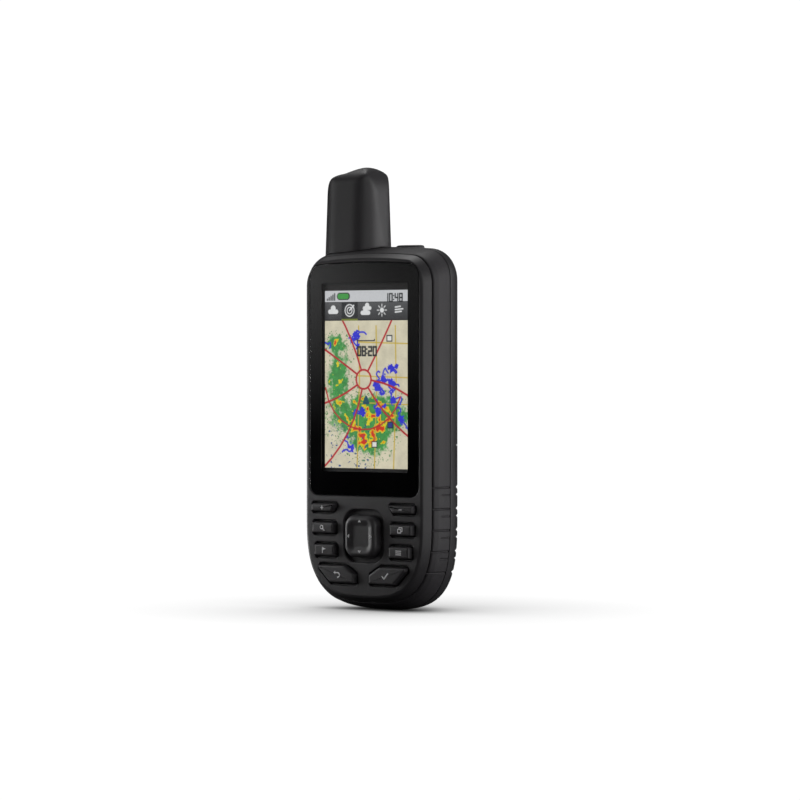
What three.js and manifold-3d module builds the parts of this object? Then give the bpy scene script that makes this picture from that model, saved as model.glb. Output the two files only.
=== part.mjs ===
// A handheld GPS unit, built as the separate pieces it comes apart into on a bench.
// Millimetres, +Z up. The front faces -Y and X = 0 is the case's plane of symmetry.
// The origin is under the middle of the case. "Depth" runs backwards (+Y) from the front face.

import * as THREE from "three";
import { mergeVertices } from "three/addons/utils/BufferGeometryUtils.js";
import Module from "manifold-3d";

const wasm = await Module();
wasm.setup();

// ---- Driving dimensions ------------------------------------------------------------------

const overall = { width: 62.2, height: 162.6, depth: 36.1 };
const rockerStandOut = 2.4; // the rocker is the piece furthest forward
const frontY = rockerStandOut - overall.depth / 2;
const backDepth = overall.depth - rockerStandOut;
const gap = 0.3; // between neighbouring pieces
const wall = 1.8; // moulded case walls

// Stations of the case from front to back: half width, lowest and highest point.
const frontStations = [
  { depth: 0, halfWidth: 27, bottom: 5.2, top: 128.3 },
  { depth: 0.4, halfWidth: 27.5, bottom: 4.7, top: 128.8 },
  { depth: 3.2, halfWidth: 29.4, bottom: 3, top: 130.4 },
  { depth: 3.6, halfWidth: 29.8, bottom: 2.6, top: 130.6 },
  { depth: 5.5, halfWidth: 30.8, bottom: 1.6, top: 131.2 },
  { depth: 8, halfWidth: 31.1, bottom: 0.8, top: 131.9 },
  { depth: 10.5, halfWidth: 31.1, bottom: 0.3, top: 132.5 },
];
const rear = {
  sides: { start: 10.5, reach: 18.7 },
  top: { start: 14, reach: 15.2, size: 15, centre: 118 },
  bottom: { start: 14, reach: 15.2, centre: 14 },
  exponent: 2.25,
  flatDepth: 28.2,
};
const outlineShape = { shoulder: 36, exponent: 3.15, cornerRadius: 11, arch: 0.8 };

const flankEnd = 3.2; // the hard front shell shows in front of this depth
const grip = { start: 3.6, end: 11.8, thickness: 1.4 };
const rearStart = 12.1;
const plateDepth = 2.2; // thickness of the front shell's face

const glass = { halfWidth: 25.6, bottom: 41.9, top: 127.1, radius: 4, thickness: 1.2 };
const gasketThickness = 0.3;
const display = { halfWidth: 21.4, bottom: 49.6, top: 120.6, thickness: 2.8 };

const keyStandOut = 1.6;
const keyBack = 2.1;
const pocket = { margin: 0.7, depth: 1.1 };
const keyClearance = 0.25; // round each key where it passes through the front shell
const rocker = { z: 27.2, halfWidth: 7.5, halfHeight: 7.8, radius: 4, back: 1.1 };
const rockerWell = { halfWidth: 9.2, halfHeight: 9.6, radius: 5, depth: 1.8, pivotHole: 3.2 };
const rockerDish = { halfWidth: 3.9, halfHeight: 4.1, radius: 1.2, depth: -1.5 };
const rockerPivot = { half: 1.1, start: 1.3, end: 2.7, socketHalf: 2.2, socketHole: 1.5, socketEnd: 2.2 };

const antenna = { x: -15.2, depth: 15.5, halfWidth: 13.3, halfDepth: 9, taper: 0.85, base: 118 };
const antennaTop = { apex: -10.8, slopeEnd: 160, leftCorner: 7, rightCorner: 8 };
const antennaDome = { drop: 7.5, exponent: 2, margin: 0.6 };
const antennaWall = 1.6;
const helix = { depth: 17.9, radius: 4, bottom: 119, top: 150 };
const powerButton = { x: 8.6, depth: 16.6, halfWidth: 6, halfDepth: 3.6, standOut: 0.9, bottom: 129.2 };

const spine = { baseDepth: 22, baseHalf: 17.5, topHalf: 13, bottom: 4.2, top: 126, endSlope: 6 };
const door = { start: 16.5, bottom: 4.6, top: 60.4, wall: 1.6 };
const bay = { floorDepth: 13.6, top: 62.4 };
const cell = { radius: 7.1, length: 50.5, x: 7.5, depth: 20.9, bottom: 9.3 };
const latch = { z: 30, dishRadius: 10.6, floorDepth: 31, discRadius: 6.4, discStart: 29.9, seatDepth: 29.6 };
const stem = { radius: 2.6, start: 27.4, end: 30.2 };
const cam = { halfWidth: 3.3, halfHeight: 1.3, start: 26.9, end: 27.9 };
const ring = { z: 31.8, depth: 32.2, wire: 0.8, radius: 6.2 };
const lug = { halfWidth: 2.6, halfHeight: 1.8, start: 30.6, end: 33.5 };

const cap = { left: 16.8, right: 26.6, bottom: 105.5, top: 120.5, thickness: 1.6, swingRoom: 2.4 };
const port = { left: 19, right: 24, bottom: 111.3, top: 114.7, start: 12, end: 19 };
const torch = { x: 0, z: 112, radius: 3.2, start: 32, bore: 30 };
const board = { depth: 6, thickness: 1.2, inset: 4.2 };
const keypadLayers = { inset: 4.4, bottom: 9.2, top: 40, mat: [2.95, 3.7], board: [3.9, 4.7] };
const card = { halfWidth: 5.5, bottom: 23, top: 38, start: 12.98, end: 13.48 };
const cardCage = { halfWidth: 6, bottom: 22, top: 36, start: 12.7, end: 13.7 };
const cardPocket = { halfWidth: 6.2, bottom: 21.8, top: 38.8, start: 12.6, end: 20 };
const beyond = 60; // a distance well outside the case, where cutting tools end

// Plain rectangular parts on the boards: two values each of X, depth and Z.
const blocks = [
  { name: "power_switch", look: "tin", x: [6.4, 10.8], depth: [15, 18.2], z: [124.5, 128.3] },
  { name: "torch_led", look: "tin", x: [-1.2, 1.2], depth: [30.6, 31.7], z: [110.8, 113.2] },
  { name: "shield_can", look: "tin", x: [-14, 14], depth: [7.5, 9.8], z: [78, 108] },
  { name: "display_flex", look: "flex", x: [-7, 7], depth: [4.7, 5.7], z: [52, 70] },
  { name: "usb_port", look: "tin", x: [port.left, port.right], depth: [port.start, port.end], z: [port.bottom, port.top] },
];

// ---- Looks -------------------------------------------------------------------------------

const looks = {
  shell: { color: 0x35363a, roughness: 0.5, metalness: 0 },
  rubber: { color: 0x3c3d40, roughness: 0.85, metalness: 0 },
  key: { color: 0x303136, roughness: 0.6, metalness: 0 },
  glass: { color: 0x050507, roughness: 0.06, metalness: 0 },
  screen: { color: 0xd9d2b4, roughness: 0.3, metalness: 0 },
  foam: { color: 0x1b1b1b, roughness: 0.95, metalness: 0 },
  silicone: { color: 0x55585c, roughness: 0.8, metalness: 0 },
  circuit: { color: 0x1f5b33, roughness: 0.55, metalness: 0 },
  tin: { color: 0xb8bbbf, roughness: 0.3, metalness: 1 },
  brass: { color: 0xb08d45, roughness: 0.35, metalness: 1 },
  steel: { color: 0x8f9296, roughness: 0.3, metalness: 1 },
  ceramic: { color: 0xd8cdb8, roughness: 0.5, metalness: 0 },
  cellWrap: { color: 0x2c6f8f, roughness: 0.4, metalness: 0 },
  clear: { color: 0xdfe6ea, roughness: 0.1, metalness: 0 },
  flex: { color: 0xb56a1e, roughness: 0.5, metalness: 0 },
  card: { color: 0x101114, roughness: 0.5, metalness: 0 },
};
const materials = Object.fromEntries(
  Object.entries(looks).map(([name, look]) => [name, new THREE.MeshStandardMaterial(look)]),
);

// ---- Solids ------------------------------------------------------------------------------

const depthY = (depth) => frontY + depth;

function solid(geometry) {
  const bare = geometry.clone();
  bare.deleteAttribute("normal");
  bare.deleteAttribute("uv");
  const merged = mergeVertices(bare, 1e-4);
  const vertProperties = Float32Array.from(merged.attributes.position.array);
  const triVerts = Uint32Array.from(merged.index.array);
  return new wasm.Manifold(new wasm.Mesh({ numProp: 3, vertProperties, triVerts }));
}

function geometryOf(manifold) {
  const mesh = manifold.getMesh();
  const geometry = new THREE.BufferGeometry();
  geometry.setAttribute("position", new THREE.BufferAttribute(mesh.vertProperties, 3));
  geometry.setIndex(new THREE.BufferAttribute(mesh.triVerts, 1));
  geometry.computeVertexNormals();
  return geometry;
}

const unit = new THREE.Group();

function piece(name, shape, look) {
  const mesh = new THREE.Mesh(geometryOf(shape), materials[look].clone());
  mesh.name = name;
  unit.add(mesh);
}

const joined = (shapes) => shapes.reduce((sum, shape) => sum.add(shape));
const cut = (shape, tools) => tools.reduce((left, tool) => left.subtract(tool), shape);

// A block between two values of X, depth and Z.
function block([x0, x1], [d0, d1], [z0, z1]) {
  const box = new THREE.BoxGeometry(x1 - x0, d1 - d0, z1 - z0);
  box.translate((x0 + x1) / 2, depthY((d0 + d1) / 2), (z0 + z1) / 2);
  return solid(box);
}

// Blocks across the middle of the case: one between two heights, one centred on a height.
function middleBlock({ halfWidth, bottom, top, start, end }) {
  return block([-halfWidth, halfWidth], [start, end], [bottom, top]);
}

function centredBlock({ halfWidth, halfHeight, start, end }, z) {
  return block([-halfWidth, halfWidth], [start, end], [z - halfHeight, z + halfHeight]);
}

// A round bar along the depth, or upright.
function barAlongDepth(x, z, radius, [d0, d1], segments = 20) {
  const bar = new THREE.CylinderGeometry(radius, radius, d1 - d0, segments);
  bar.translate(x, depthY((d0 + d1) / 2), z);
  return solid(bar);
}

function uprightBar(x, depth, radius, [z0, z1], segments = 20) {
  const bar = new THREE.CylinderGeometry(radius, radius, z1 - z0, segments);
  bar.rotateX(Math.PI / 2);
  bar.translate(x, depthY(depth), (z0 + z1) / 2);
  return solid(bar);
}

// A flat outline in X and Z, pushed from one depth to another.
function prism(shape, [d0, d1], curveSegments = 3) {
  const geometry = new THREE.ExtrudeGeometry(shape, { depth: d1 - d0, bevelEnabled: false, curveSegments });
  geometry.rotateX(Math.PI / 2);
  geometry.translate(0, depthY(d1), 0);
  return solid(geometry);
}

function tube(curve, radius, steps, sides = 3) {
  const section = new THREE.Shape().absarc(0, 0, radius, 0, Math.PI * 2, false);
  const options = { steps, curveSegments: sides, bevelEnabled: false, extrudePath: curve };
  return solid(new THREE.ExtrudeGeometry(section, options));
}

function roundedRect(x0, x1, z0, z1, radius) {
  const shape = new THREE.Shape();
  shape.absarc(x1 - radius, z0 + radius, radius, -Math.PI / 2, 0, false);
  shape.absarc(x1 - radius, z1 - radius, radius, 0, Math.PI / 2, false);
  shape.absarc(x0 + radius, z1 - radius, radius, Math.PI / 2, Math.PI, false);
  shape.absarc(x0 + radius, z0 + radius, radius, Math.PI, Math.PI * 1.5, false);
  return shape;
}

// A solid through outlines with equal numbers of points; place(point, ring) puts each in space.
function loft(outlines, place) {
  const count = outlines[0].length;
  const positions = outlines.flatMap((outline, ring) => outline.flatMap((p) => place(p, ring).toArray()));
  const triangles = [];
  for (let ring = 0; ring < outlines.length - 1; ring += 1) {
    for (let i = 0; i < count; i += 1) {
      const next = (i + 1) % count;
      const [a, b] = [ring * count + i, ring * count + next];
      triangles.push([a, a + count, b], [a + count, b + count, b]);
    }
  }
  const last = (outlines.length - 1) * count;
  for (const [i, j, k] of THREE.ShapeUtils.triangulateShape(outlines[0], [])) triangles.push([i, j, k]);
  for (const [i, j, k] of THREE.ShapeUtils.triangulateShape(outlines.at(-1), [])) {
    triangles.push([last + i, last + k, last + j]);
  }
  const vertex = (i) => new THREE.Vector3().fromArray(positions, i * 3);
  const volume = triangles.reduce((sum, [i, j, k]) => sum + vertex(i).dot(vertex(j).cross(vertex(k))), 0);
  const facing = volume > 0 ? triangles : triangles.map(([i, j, k]) => [i, k, j]);
  const geometry = new THREE.BufferGeometry();
  geometry.setAttribute("position", new THREE.Float32BufferAttribute(positions, 3));
  geometry.setIndex(facing.flat());
  return solid(geometry);
}

// ---- The form of the case ----------------------------------------------------------------

function fall(distance, reach, exponent) {
  const share = Math.min(Math.max(distance / reach, 0), 1);
  return (1 - share ** exponent) ** (1 / exponent);
}

// Between two stations each value runs straight.
function frontStation(depth) {
  const index = frontStations.findIndex((station) => station.depth >= depth);
  if (index === -1) return frontStations.at(-1);
  if (index === 0) return frontStations[0];
  const [before, after] = [frontStations[index - 1], frontStations[index]];
  const share = (depth - before.depth) / (after.depth - before.depth);
  const mix = (key) => THREE.MathUtils.lerp(before[key], after[key], share);
  return { halfWidth: mix("halfWidth"), bottom: mix("bottom"), top: mix("top") };
}

// The section of the case at a depth, drawn in by inset on all its sides.
function section(depth, inset = 0) {
  const { sides, top, bottom, exponent } = rear;
  const front = frontStation(depth);
  const sideFall = fall(depth - sides.start, sides.reach - inset, exponent);
  const topFall = fall(depth - top.start, top.reach - inset, exponent);
  const bottomFall = fall(depth - bottom.start, bottom.reach - inset, exponent);
  const rise = THREE.MathUtils.smoothstep(depth, sides.start, top.start);
  const crest = THREE.MathUtils.lerp(front.top, top.centre + top.size, rise);
  const trough = THREE.MathUtils.lerp(front.bottom, 0, rise);
  return {
    halfWidth: (front.halfWidth - inset) * sideFall,
    top: top.centre + (crest - top.centre - inset) * topFall,
    bottom: bottom.centre - (bottom.centre - trough - inset) * bottomFall,
    radius: outlineShape.cornerRadius - inset - (overall.width / 2 - front.halfWidth) / 2,
  };
}

// Front view of a section: a squared-off bowl below, straight sides, two corners and a low arch.
function outline({ halfWidth, bottom, top, radius }) {
  const { shoulder, exponent, arch } = outlineShape;
  const corner = Math.min(radius, halfWidth * 0.8);
  const flat = halfWidth - corner;
  const points = [];
  const bowlSteps = 16;
  for (let i = 0; i <= bowlSteps; i += 1) {
    const angle = Math.PI + (Math.PI * i) / bowlSteps;
    const x = halfWidth * Math.sign(Math.cos(angle)) * Math.abs(Math.cos(angle)) ** (2 / exponent);
    const z = shoulder - (shoulder - bottom) * Math.abs(Math.sin(angle)) ** (2 / exponent);
    points.push(new THREE.Vector2(x, z));
  }
  const cornerSteps = 4;
  const addCorner = (side, from) => {
    for (let i = 0; i <= cornerSteps; i += 1) {
      const angle = from + ((Math.PI / 2) * i) / cornerSteps;
      const x = side * flat + corner * Math.cos(angle);
      points.push(new THREE.Vector2(x, top - arch - corner + corner * Math.sin(angle)));
    }
  };
  addCorner(1, 0);
  points.push(new THREE.Vector2(flat / 2, top - arch / 4), new THREE.Vector2(0, top));
  points.push(new THREE.Vector2(-flat / 2, top - arch / 4));
  addCorner(-1, Math.PI / 2);
  return points;
}

const frontDepths = frontStations.map(({ depth }) => depth);
const rearDepths = [12.3, 14, 16.5, 19, 21.5, 23.5, 25.5, 27];

// The case between two depths, drawn in by inset.
function caseBody([from, to], inset = 0) {
  const inner = [...frontDepths, ...rearDepths].filter((depth) => depth > from && depth < to);
  const depths = [from, ...inner, to];
  const place = (point, ring) => new THREE.Vector3(point.x, depthY(depths[ring]), point.y);
  return loft(depths.map((depth) => outline(section(depth, inset))), place);
}

// The raised spine along the back, drawn in by inset.
function spineBody(inset = 0) {
  const { baseDepth, baseHalf, topHalf, bottom, top, endSlope } = spine;
  const depths = [baseDepth, backDepth - 2.4, backDepth - inset];
  const halves = [baseHalf, topHalf + 1, topHalf];
  const slopes = [0, endSlope * 0.6, endSlope];
  const outlines = depths.map((_, i) => {
    const half = halves[i] - inset;
    const [low, high] = [bottom + slopes[i] + inset, top - slopes[i] - inset];
    return roundedRect(-half, half, low, high, 5).getPoints(4);
  });
  return loft(outlines, (point, ring) => new THREE.Vector3(point.x, depthY(depths[ring]), point.y));
}

const rearOuter = caseBody([rearStart, rear.flatDepth]).add(spineBody());
const rearInner = (inset) => {
  const body = caseBody([rearStart - 1, rear.flatDepth - inset], inset);
  return body.add(spineBody(inset));
};
const wide = [-beyond, beyond];
const deep = [-beyond, beyond];

// Horizontal grip grooves, long ones with a short one under each, on both sides of a piece.
const grooves = { first: 45.3, pitch: 7.73, count: 5, long: 0.5, shortDrop: 2.7, width: 0.5, onDoor: 0.6 };

function gripGrooves([d0, d1], depthOfCut) {
  const tools = [];
  for (let i = 0; i < grooves.count; i += 1) {
    const z = grooves.first - i * grooves.pitch;
    const { halfWidth } = sideAt(z);
    const levels = [[z, d1]];
    if (i < grooves.count - 1) levels.push([z - grooves.shortDrop, d0 + (d1 - d0) * 0.6]);
    for (const [level, end] of levels) {
      for (const side of [-1, 1]) {
        const inner = side * (halfWidth - depthOfCut);
        const outer = side * (halfWidth + 4);
        const xs = [Math.min(inner, outer), Math.max(inner, outer)];
        tools.push(block(xs, [d0, end], [level - grooves.width / 2, level + grooves.width / 2]));
      }
    }
  }
  return tools;
}

// Grooves round the back corners of the case at the same heights, equally deep all the way round.
function cornerGrooves([d0, d1], fromX) {
  const core = rearInner(grooves.onDoor);
  const tools = [];
  for (let i = 0; i < grooves.count; i += 1) {
    const z = grooves.first - i * grooves.pitch;
    const heights = [z - grooves.width, z + grooves.width];
    for (const xs of [[-overall.width, -fromX], [fromX, overall.width]]) {
      tools.push(block(xs, [d0, d1], heights).subtract(core));
    }
  }
  return tools;
}

// Half width of the widest section at a height below the shoulder.
function sideAt(z) {
  const { shoulder, exponent } = outlineShape;
  const share = Math.min(Math.max((shoulder - z) / shoulder, 0), 1);
  return { halfWidth: (overall.width / 2) * (1 - share ** exponent) ** (1 / exponent) };
}

// ---- Keys and rocker ---------------------------------------------------------------------

// Each row has a key on both sides of the rocker. Cuts are [across, up] from a corner.
const keyRows = [
  { left: "key_zoom_in", right: "key_zoom_out", x: [12.6, 24], z: [35.7, 38.9], innerBottom: [1.8, 2.6] },
  { left: "key_find", right: "key_page", x: [13.1, 23.6], z: [27.7, 32.1], innerTop: [0.5, 0.5] },
  { left: "key_mark", right: "key_menu", x: [12.7, 22.5], z: [19.4, 24], innerTop: [0.5, 0.5] },
  {
    left: "key_quit",
    right: "key_enter",
    x: [3.4, 20.6],
    z: [9.7, 16.4],
    innerTop: [5, 3],
    outerBottom: [5.5, 5.2],
  },
];
const noCut = [0.4, 0.4];

// The outline of one key, grown all round; side is -1 for the left hand key.
function keyShape(row, side, grow = 0) {
  const [inner, outer] = [row.x[0] - grow, row.x[1] + grow];
  const [low, high] = [row.z[0] - grow, row.z[1] + grow];
  const { innerTop = noCut, innerBottom = noCut, outerBottom = noCut } = row;
  const points = [
    [inner, low + innerBottom[1]],
    [inner + innerBottom[0], low],
    [outer - outerBottom[0], low],
    [outer, low + outerBottom[1]],
    [outer, high - noCut[1]],
    [outer - noCut[0], high],
    [inner + innerTop[0], high],
    [inner, high - innerTop[1]],
  ];
  return new THREE.Shape(points.map(([x, z]) => new THREE.Vector2(side * x, z)));
}

const keys = keyRows.flatMap((row) => [
  { name: row.left, row, side: -1 },
  { name: row.right, row, side: 1 },
]);
for (const { name, row, side } of keys) {
  piece(name, prism(keyShape(row, side), [-keyStandOut, keyBack]), "key");
}

// A rounded rectangle centred on the rocker.
function rockerShape({ halfWidth, halfHeight, radius }) {
  return roundedRect(-halfWidth, halfWidth, rocker.z - halfHeight, rocker.z + halfHeight, radius);
}

// A square bar along the depth, on the middle of the rocker.
const rockerBar = (half, depths) => block([-half, half], depths, [rocker.z - half, rocker.z + half]);

function rockerCap() {
  const dish = prism(rockerShape(rockerDish), [-beyond, rockerDish.depth]);
  const pad = prism(rockerShape(rocker), [-rockerStandOut, rocker.back]).subtract(dish);
  const socket = rockerBar(rockerPivot.socketHalf, [rocker.back - 0.1, rockerPivot.socketEnd]);
  const socketHole = rockerBar(rockerPivot.socketHole, [rocker.back - 0.2, beyond]);
  return pad.add(socket).subtract(socketHole);
}
piece("rocker_cap", rockerCap(), "key");
piece("rocker_pivot", rockerBar(rockerPivot.half, [rockerPivot.start, rockerPivot.end]), "key");

// ---- Front shell, lens and grip ----------------------------------------------------------

const screwPosts = [
  { x: -23.6, z: 16.6 },
  { x: 23.6, z: 16.6 },
  { x: -22.6, z: 44.8 },
  { x: 22.6, z: 44.8 },
];
const post = { radius: 2.4, bore: 1.15, boreStart: 5 };
const screw = { shank: 0.95, tip: 6, headRadius: 2.1, headStart: 13.9, headEnd: 15.3 };

function glassShape(grow = 0) {
  const { halfWidth, bottom, top, radius } = glass;
  return roundedRect(-halfWidth - grow, halfWidth + grow, bottom - grow, top + grow, radius + grow);
}

function displayShape(grow = 0) {
  const { halfWidth, bottom, top } = display;
  return roundedRect(-halfWidth - grow, halfWidth + grow, bottom - grow, top + grow, 0.8);
}

const innerInset = grip.thickness + 0.15;
const gasketBack = glass.thickness + gasketThickness + 0.1;

function frontHousing() {
  const face = caseBody([0, flankEnd]);
  const skirt = caseBody([plateDepth - 0.5, grip.end], innerInset);
  const cavity = caseBody([plateDepth, grip.end + 2], innerInset + wall);
  const posts = screwPosts.map(({ x, z }) => barAlongDepth(x, z, post.radius, [plateDepth - 0.5, grip.end - 0.3]));
  const bores = screwPosts.map(({ x, z }) => barAlongDepth(x, z, post.bore, [post.boreStart, grip.end + 1], 12));
  const lensSeat = prism(glassShape(0.15), [-1, gasketBack]);
  const window = prism(displayShape(gap), [-1, plateDepth + 1]);
  const pockets = keys.map(({ row, side }) => prism(keyShape(row, side, pocket.margin), [-1, pocket.depth]));
  const holes = keys.map(({ row, side }) => prism(keyShape(row, side, keyClearance), [-1, plateDepth + 1]));
  const well = prism(rockerShape(rockerWell), [-1, rockerWell.depth]);
  const pivotHole = rockerBar(rockerWell.pivotHole, [-1, plateDepth + 1]);
  const hollow = face.add(skirt).subtract(cavity);
  return cut(joined([hollow, ...posts]), [...bores, lensSeat, window, ...pockets, ...holes, well, pivotHole]);
}
piece("front_housing", frontHousing(), "shell");

piece("display_lens", prism(glassShape(), [0, glass.thickness]), "glass");

const gasketDepths = [glass.thickness + 0.05, glass.thickness + gasketThickness];
const gasketFrame = prism(glassShape(-0.3), gasketDepths);
piece("display_gasket", gasketFrame.subtract(prism(displayShape(0.6), [0, 4])), "foam");

const displayDepths = [gasketBack, gasketBack + display.thickness];
piece("display_module", prism(displayShape(), displayDepths), "screen");

function gripOvermold() {
  const ringBody = caseBody([grip.start, grip.end]);
  const opening = caseBody([grip.start - 1, grip.end + 1], grip.thickness);
  return cut(ringBody, [opening, ...gripGrooves([grip.start - 1, grip.end + 1], grooves.long)]);
}

// ---- Antenna and power button ------------------------------------------------------------

// Sections of the antenna are rounded ovals; grow enlarges them all round.
function antennaTube(grow) {
  const { x, depth, halfWidth, halfDepth, taper, base } = antenna;
  const heights = [base, 128, overall.height + 4];
  const scales = [1.01, 1, taper];
  const count = 28;
  const exponent = 2.4;
  const oval = (value, power) => Math.sign(value) * Math.abs(value) ** (2 / power);
  const outlines = scales.map((scale) =>
    Array.from({ length: count }, (_, i) => {
      const angle = (2 * Math.PI * i) / count;
      const across = oval(Math.cos(angle), exponent) * (halfWidth * scale + grow);
      const along = oval(Math.sin(angle), exponent) * (halfDepth * scale + grow);
      return new THREE.Vector2(x + across, depthY(depth) + along);
    }),
  );
  return loft(outlines, (point, i) => new THREE.Vector3(point.x, point.y, heights[i]));
}

// Front view of the antenna: a round corner on the inner side and a top that slopes outwards.
function antennaFace(grow) {
  const half = antenna.halfWidth * antenna.taper + 0.1 + grow;
  const [left, right] = [antenna.x - half, antenna.x + half];
  const top = overall.height + grow;
  const { apex, slopeEnd, leftCorner, rightCorner } = antennaTop;
  const slopeTop = slopeEnd + grow;
  const shape = new THREE.Shape();
  shape.moveTo(left - 3, antenna.base - 1);
  shape.lineTo(right + 3, antenna.base - 1);
  shape.lineTo(right, top - rightCorner);
  shape.quadraticCurveTo(right - 0.2, top, right - rightCorner - 0.6, top);
  shape.lineTo(Math.min(apex, right - rightCorner - 1), top);
  shape.lineTo(left + leftCorner, slopeTop);
  shape.quadraticCurveTo(left + 0.8, slopeTop - 0.6, left, slopeTop - leftCorner);
  return prism(shape, [antenna.depth - 20, antenna.depth + 20], 4);
}

// Side view of the antenna: the top rounds off to the front and to the back.
function antennaSide(grow) {
  const { depth, halfDepth, base } = antenna;
  const { drop, exponent, margin } = antennaDome;
  const reach = halfDepth - margin + grow;
  const flare = 2;
  const steps = 12;
  const points = [new THREE.Vector2(reach + flare, base - flare)];
  for (let i = 0; i <= steps; i += 1) {
    const across = 1 - (2 * i) / steps;
    const fallen = drop * (1 - (1 - Math.abs(across) ** exponent) ** (1 / exponent));
    points.push(new THREE.Vector2(across * reach, overall.height + grow - fallen));
  }
  points.push(new THREE.Vector2(-reach - flare, base - flare));
  const ends = [-overall.width, overall.width];
  return loft([points, points], (point, i) => new THREE.Vector3(ends[i], depthY(depth) + point.x, point.y));
}

const antennaBody = (grow) => antennaTube(grow).intersect(antennaFace(grow)).intersect(antennaSide(grow));
const caseOuter = caseBody([-0.2, rear.flatDepth], -0.25);
piece("antenna_cover", cut(antennaBody(0), [caseOuter, antennaBody(-antennaWall)]), "shell");
piece("helix_antenna", uprightBar(antenna.x, helix.depth, helix.radius, [helix.bottom, helix.top], 18), "ceramic");
piece("grip_overmold", gripOvermold(), "rubber");

function powerOval(grow, [z0, z1]) {
  const { x, depth, halfWidth, halfDepth } = powerButton;
  const oval = new THREE.Shape().absellipse(0, 0, halfWidth + grow, halfDepth + grow, 0, Math.PI * 2, false, 0);
  const geometry = new THREE.ExtrudeGeometry(oval, { depth: z1 - z0, bevelEnabled: false, curveSegments: 14 });
  geometry.translate(x, depthY(depth), z0);
  return solid(geometry);
}

const caseTopAtButton = section(powerButton.depth).top - 0.2;
const buttonTop = caseTopAtButton + powerButton.standOut;
piece("power_button", powerOval(0, [powerButton.bottom, buttonTop]), "rubber");

// ---- Rear shell, battery door and weather cap --------------------------------------------

const capZone = (grow, topGrow) =>
  block([cap.left - grow, cap.right + grow], [14, beyond], [cap.bottom - grow, cap.top + topGrow]);
const skin = (inset) => rearOuter.subtract(rearInner(inset));
const capPlate = skin(cap.thickness).intersect(capZone(0, 0));
const portRoom = 0.4;
const portX = [port.left - portRoom, port.right + portRoom];
const portOpening = block(portX, [port.start - 2, beyond], [port.bottom - portRoom, port.top + portRoom]);

const contactFace = (x, [z0, z1]) => block([x - 4.2, x + 4.2], [cell.depth - 5, cell.depth + 3.8], [z0, z1]);
const contact = {
  plate: 0.6,
  lowTop: cell.bottom - 1.3,
  highBottom: cell.bottom + cell.length + 0.3,
  coilLow: 6.2,
  coilHigh: bay.top - 0.1,
};

// Steps inside the bay that carry the battery contacts.
function contactPads() {
  const floor = door.bottom - gap - 0.2;
  const high = contactFace(-cell.x, [contact.highBottom + contact.plate + 0.1, bay.top + 0.2]);
  const low = contactFace(cell.x, [floor, contact.lowTop - contact.plate - 0.1]);
  const underCoil = contactFace(-cell.x, [floor, contact.coilLow - 0.1]);
  const clearOfDoor = rearInner(door.wall + gap);
  return [high, low.intersect(clearOfDoor), underCoil.intersect(clearOfDoor)];
}

function rearHousing() {
  const shell = skin(wall);
  const anchored = rearInner(wall - 0.6);
  const bayFloor = anchored.intersect(block(wide, [rearStart, bay.floorDepth], [-5, bay.top + 1.6]));
  const bayTop = anchored.intersect(block(wide, [rearStart, beyond], [bay.top, bay.top + 1.6]));
  const bayBottom = anchored.intersect(block(wide, [rearStart, beyond], [-5, door.bottom - gap]));
  const capBacking = rearInner(wall - 0.3).subtract(rearInner(3.4)).intersect(capZone(1.6, 5));
  const doorSpace = block(wide, [door.start - gap, beyond], [door.bottom - gap, door.top + gap]);
  const openings = [doorSpace, middleBlock(cardPocket), portOpening];
  const capSpace = capZone(gap, cap.swingRoom).subtract(rearInner(cap.thickness + gap));
  const helixHole = uprightBar(antenna.x, helix.depth, helix.radius + 0.5, [helix.bottom - 5, helix.top]);
  const buttonHole = powerOval(keyClearance, [powerButton.bottom - 9, overall.height]);
  const torchBore = barAlongDepth(torch.x, torch.z, torch.radius + 0.25, [torch.bore, beyond]);
  const screwHoles = screwPosts.map(({ x, z }) => barAlongDepth(x, z, post.bore, [10, 16], 12));
  const whole = joined([shell, bayFloor, bayTop, bayBottom, capBacking]);
  const hollowed = cut(whole, [...openings, capSpace, helixHole, buttonHole, torchBore, ...screwHoles]);
  return joined([hollowed, ...contactPads()]);
}
piece("rear_housing", rearHousing(), "shell");
piece("weather_cap", capPlate, "rubber");
piece("torch_lens", barAlongDepth(torch.x, torch.z, torch.radius, [torch.start, backDepth - 0.2]), "clear");

function batteryDoor() {
  const zone = block(wide, [door.start, beyond], [door.bottom, door.top]);
  const shell = skin(door.wall).intersect(zone);
  const { z, dishRadius, floorDepth, discRadius, seatDepth } = latch;
  const dishBoss = barAlongDepth(0, z, dishRadius + 1.2, [rear.flatDepth, beyond], 28).intersect(spineBody());
  const dish = barAlongDepth(0, z, dishRadius, [floorDepth, beyond], 28);
  const discSeat = barAlongDepth(0, z, discRadius + gap, [seatDepth, beyond]);
  const stemHole = barAlongDepth(0, z, stem.radius + gap, [20, beyond]);
  const flanks = cornerGrooves([door.start - 1, rear.flatDepth - 0.7], spine.baseHalf - 2.3);
  return cut(shell.add(dishBoss), [dish, discSeat, stemHole, ...flanks]);
}
piece("battery_door", batteryDoor(), "shell");

function doorLatch() {
  const { z, discRadius, discStart, floorDepth } = latch;
  const disc = barAlongDepth(0, z, discRadius, [discStart, floorDepth]);
  const post = barAlongDepth(0, z, stem.radius, [stem.start, stem.end]);
  const foot = centredBlock(cam, z);
  const ear = centredBlock(lug, ring.z);
  const eye = new THREE.CylinderGeometry(ring.wire + 0.25, ring.wire + 0.25, 20, 16);
  eye.rotateZ(Math.PI / 2);
  eye.translate(0, depthY(ring.depth), ring.z);
  return joined([disc, post, foot, ear]).subtract(solid(eye));
}
piece("door_latch", doorLatch(), "steel");

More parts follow.
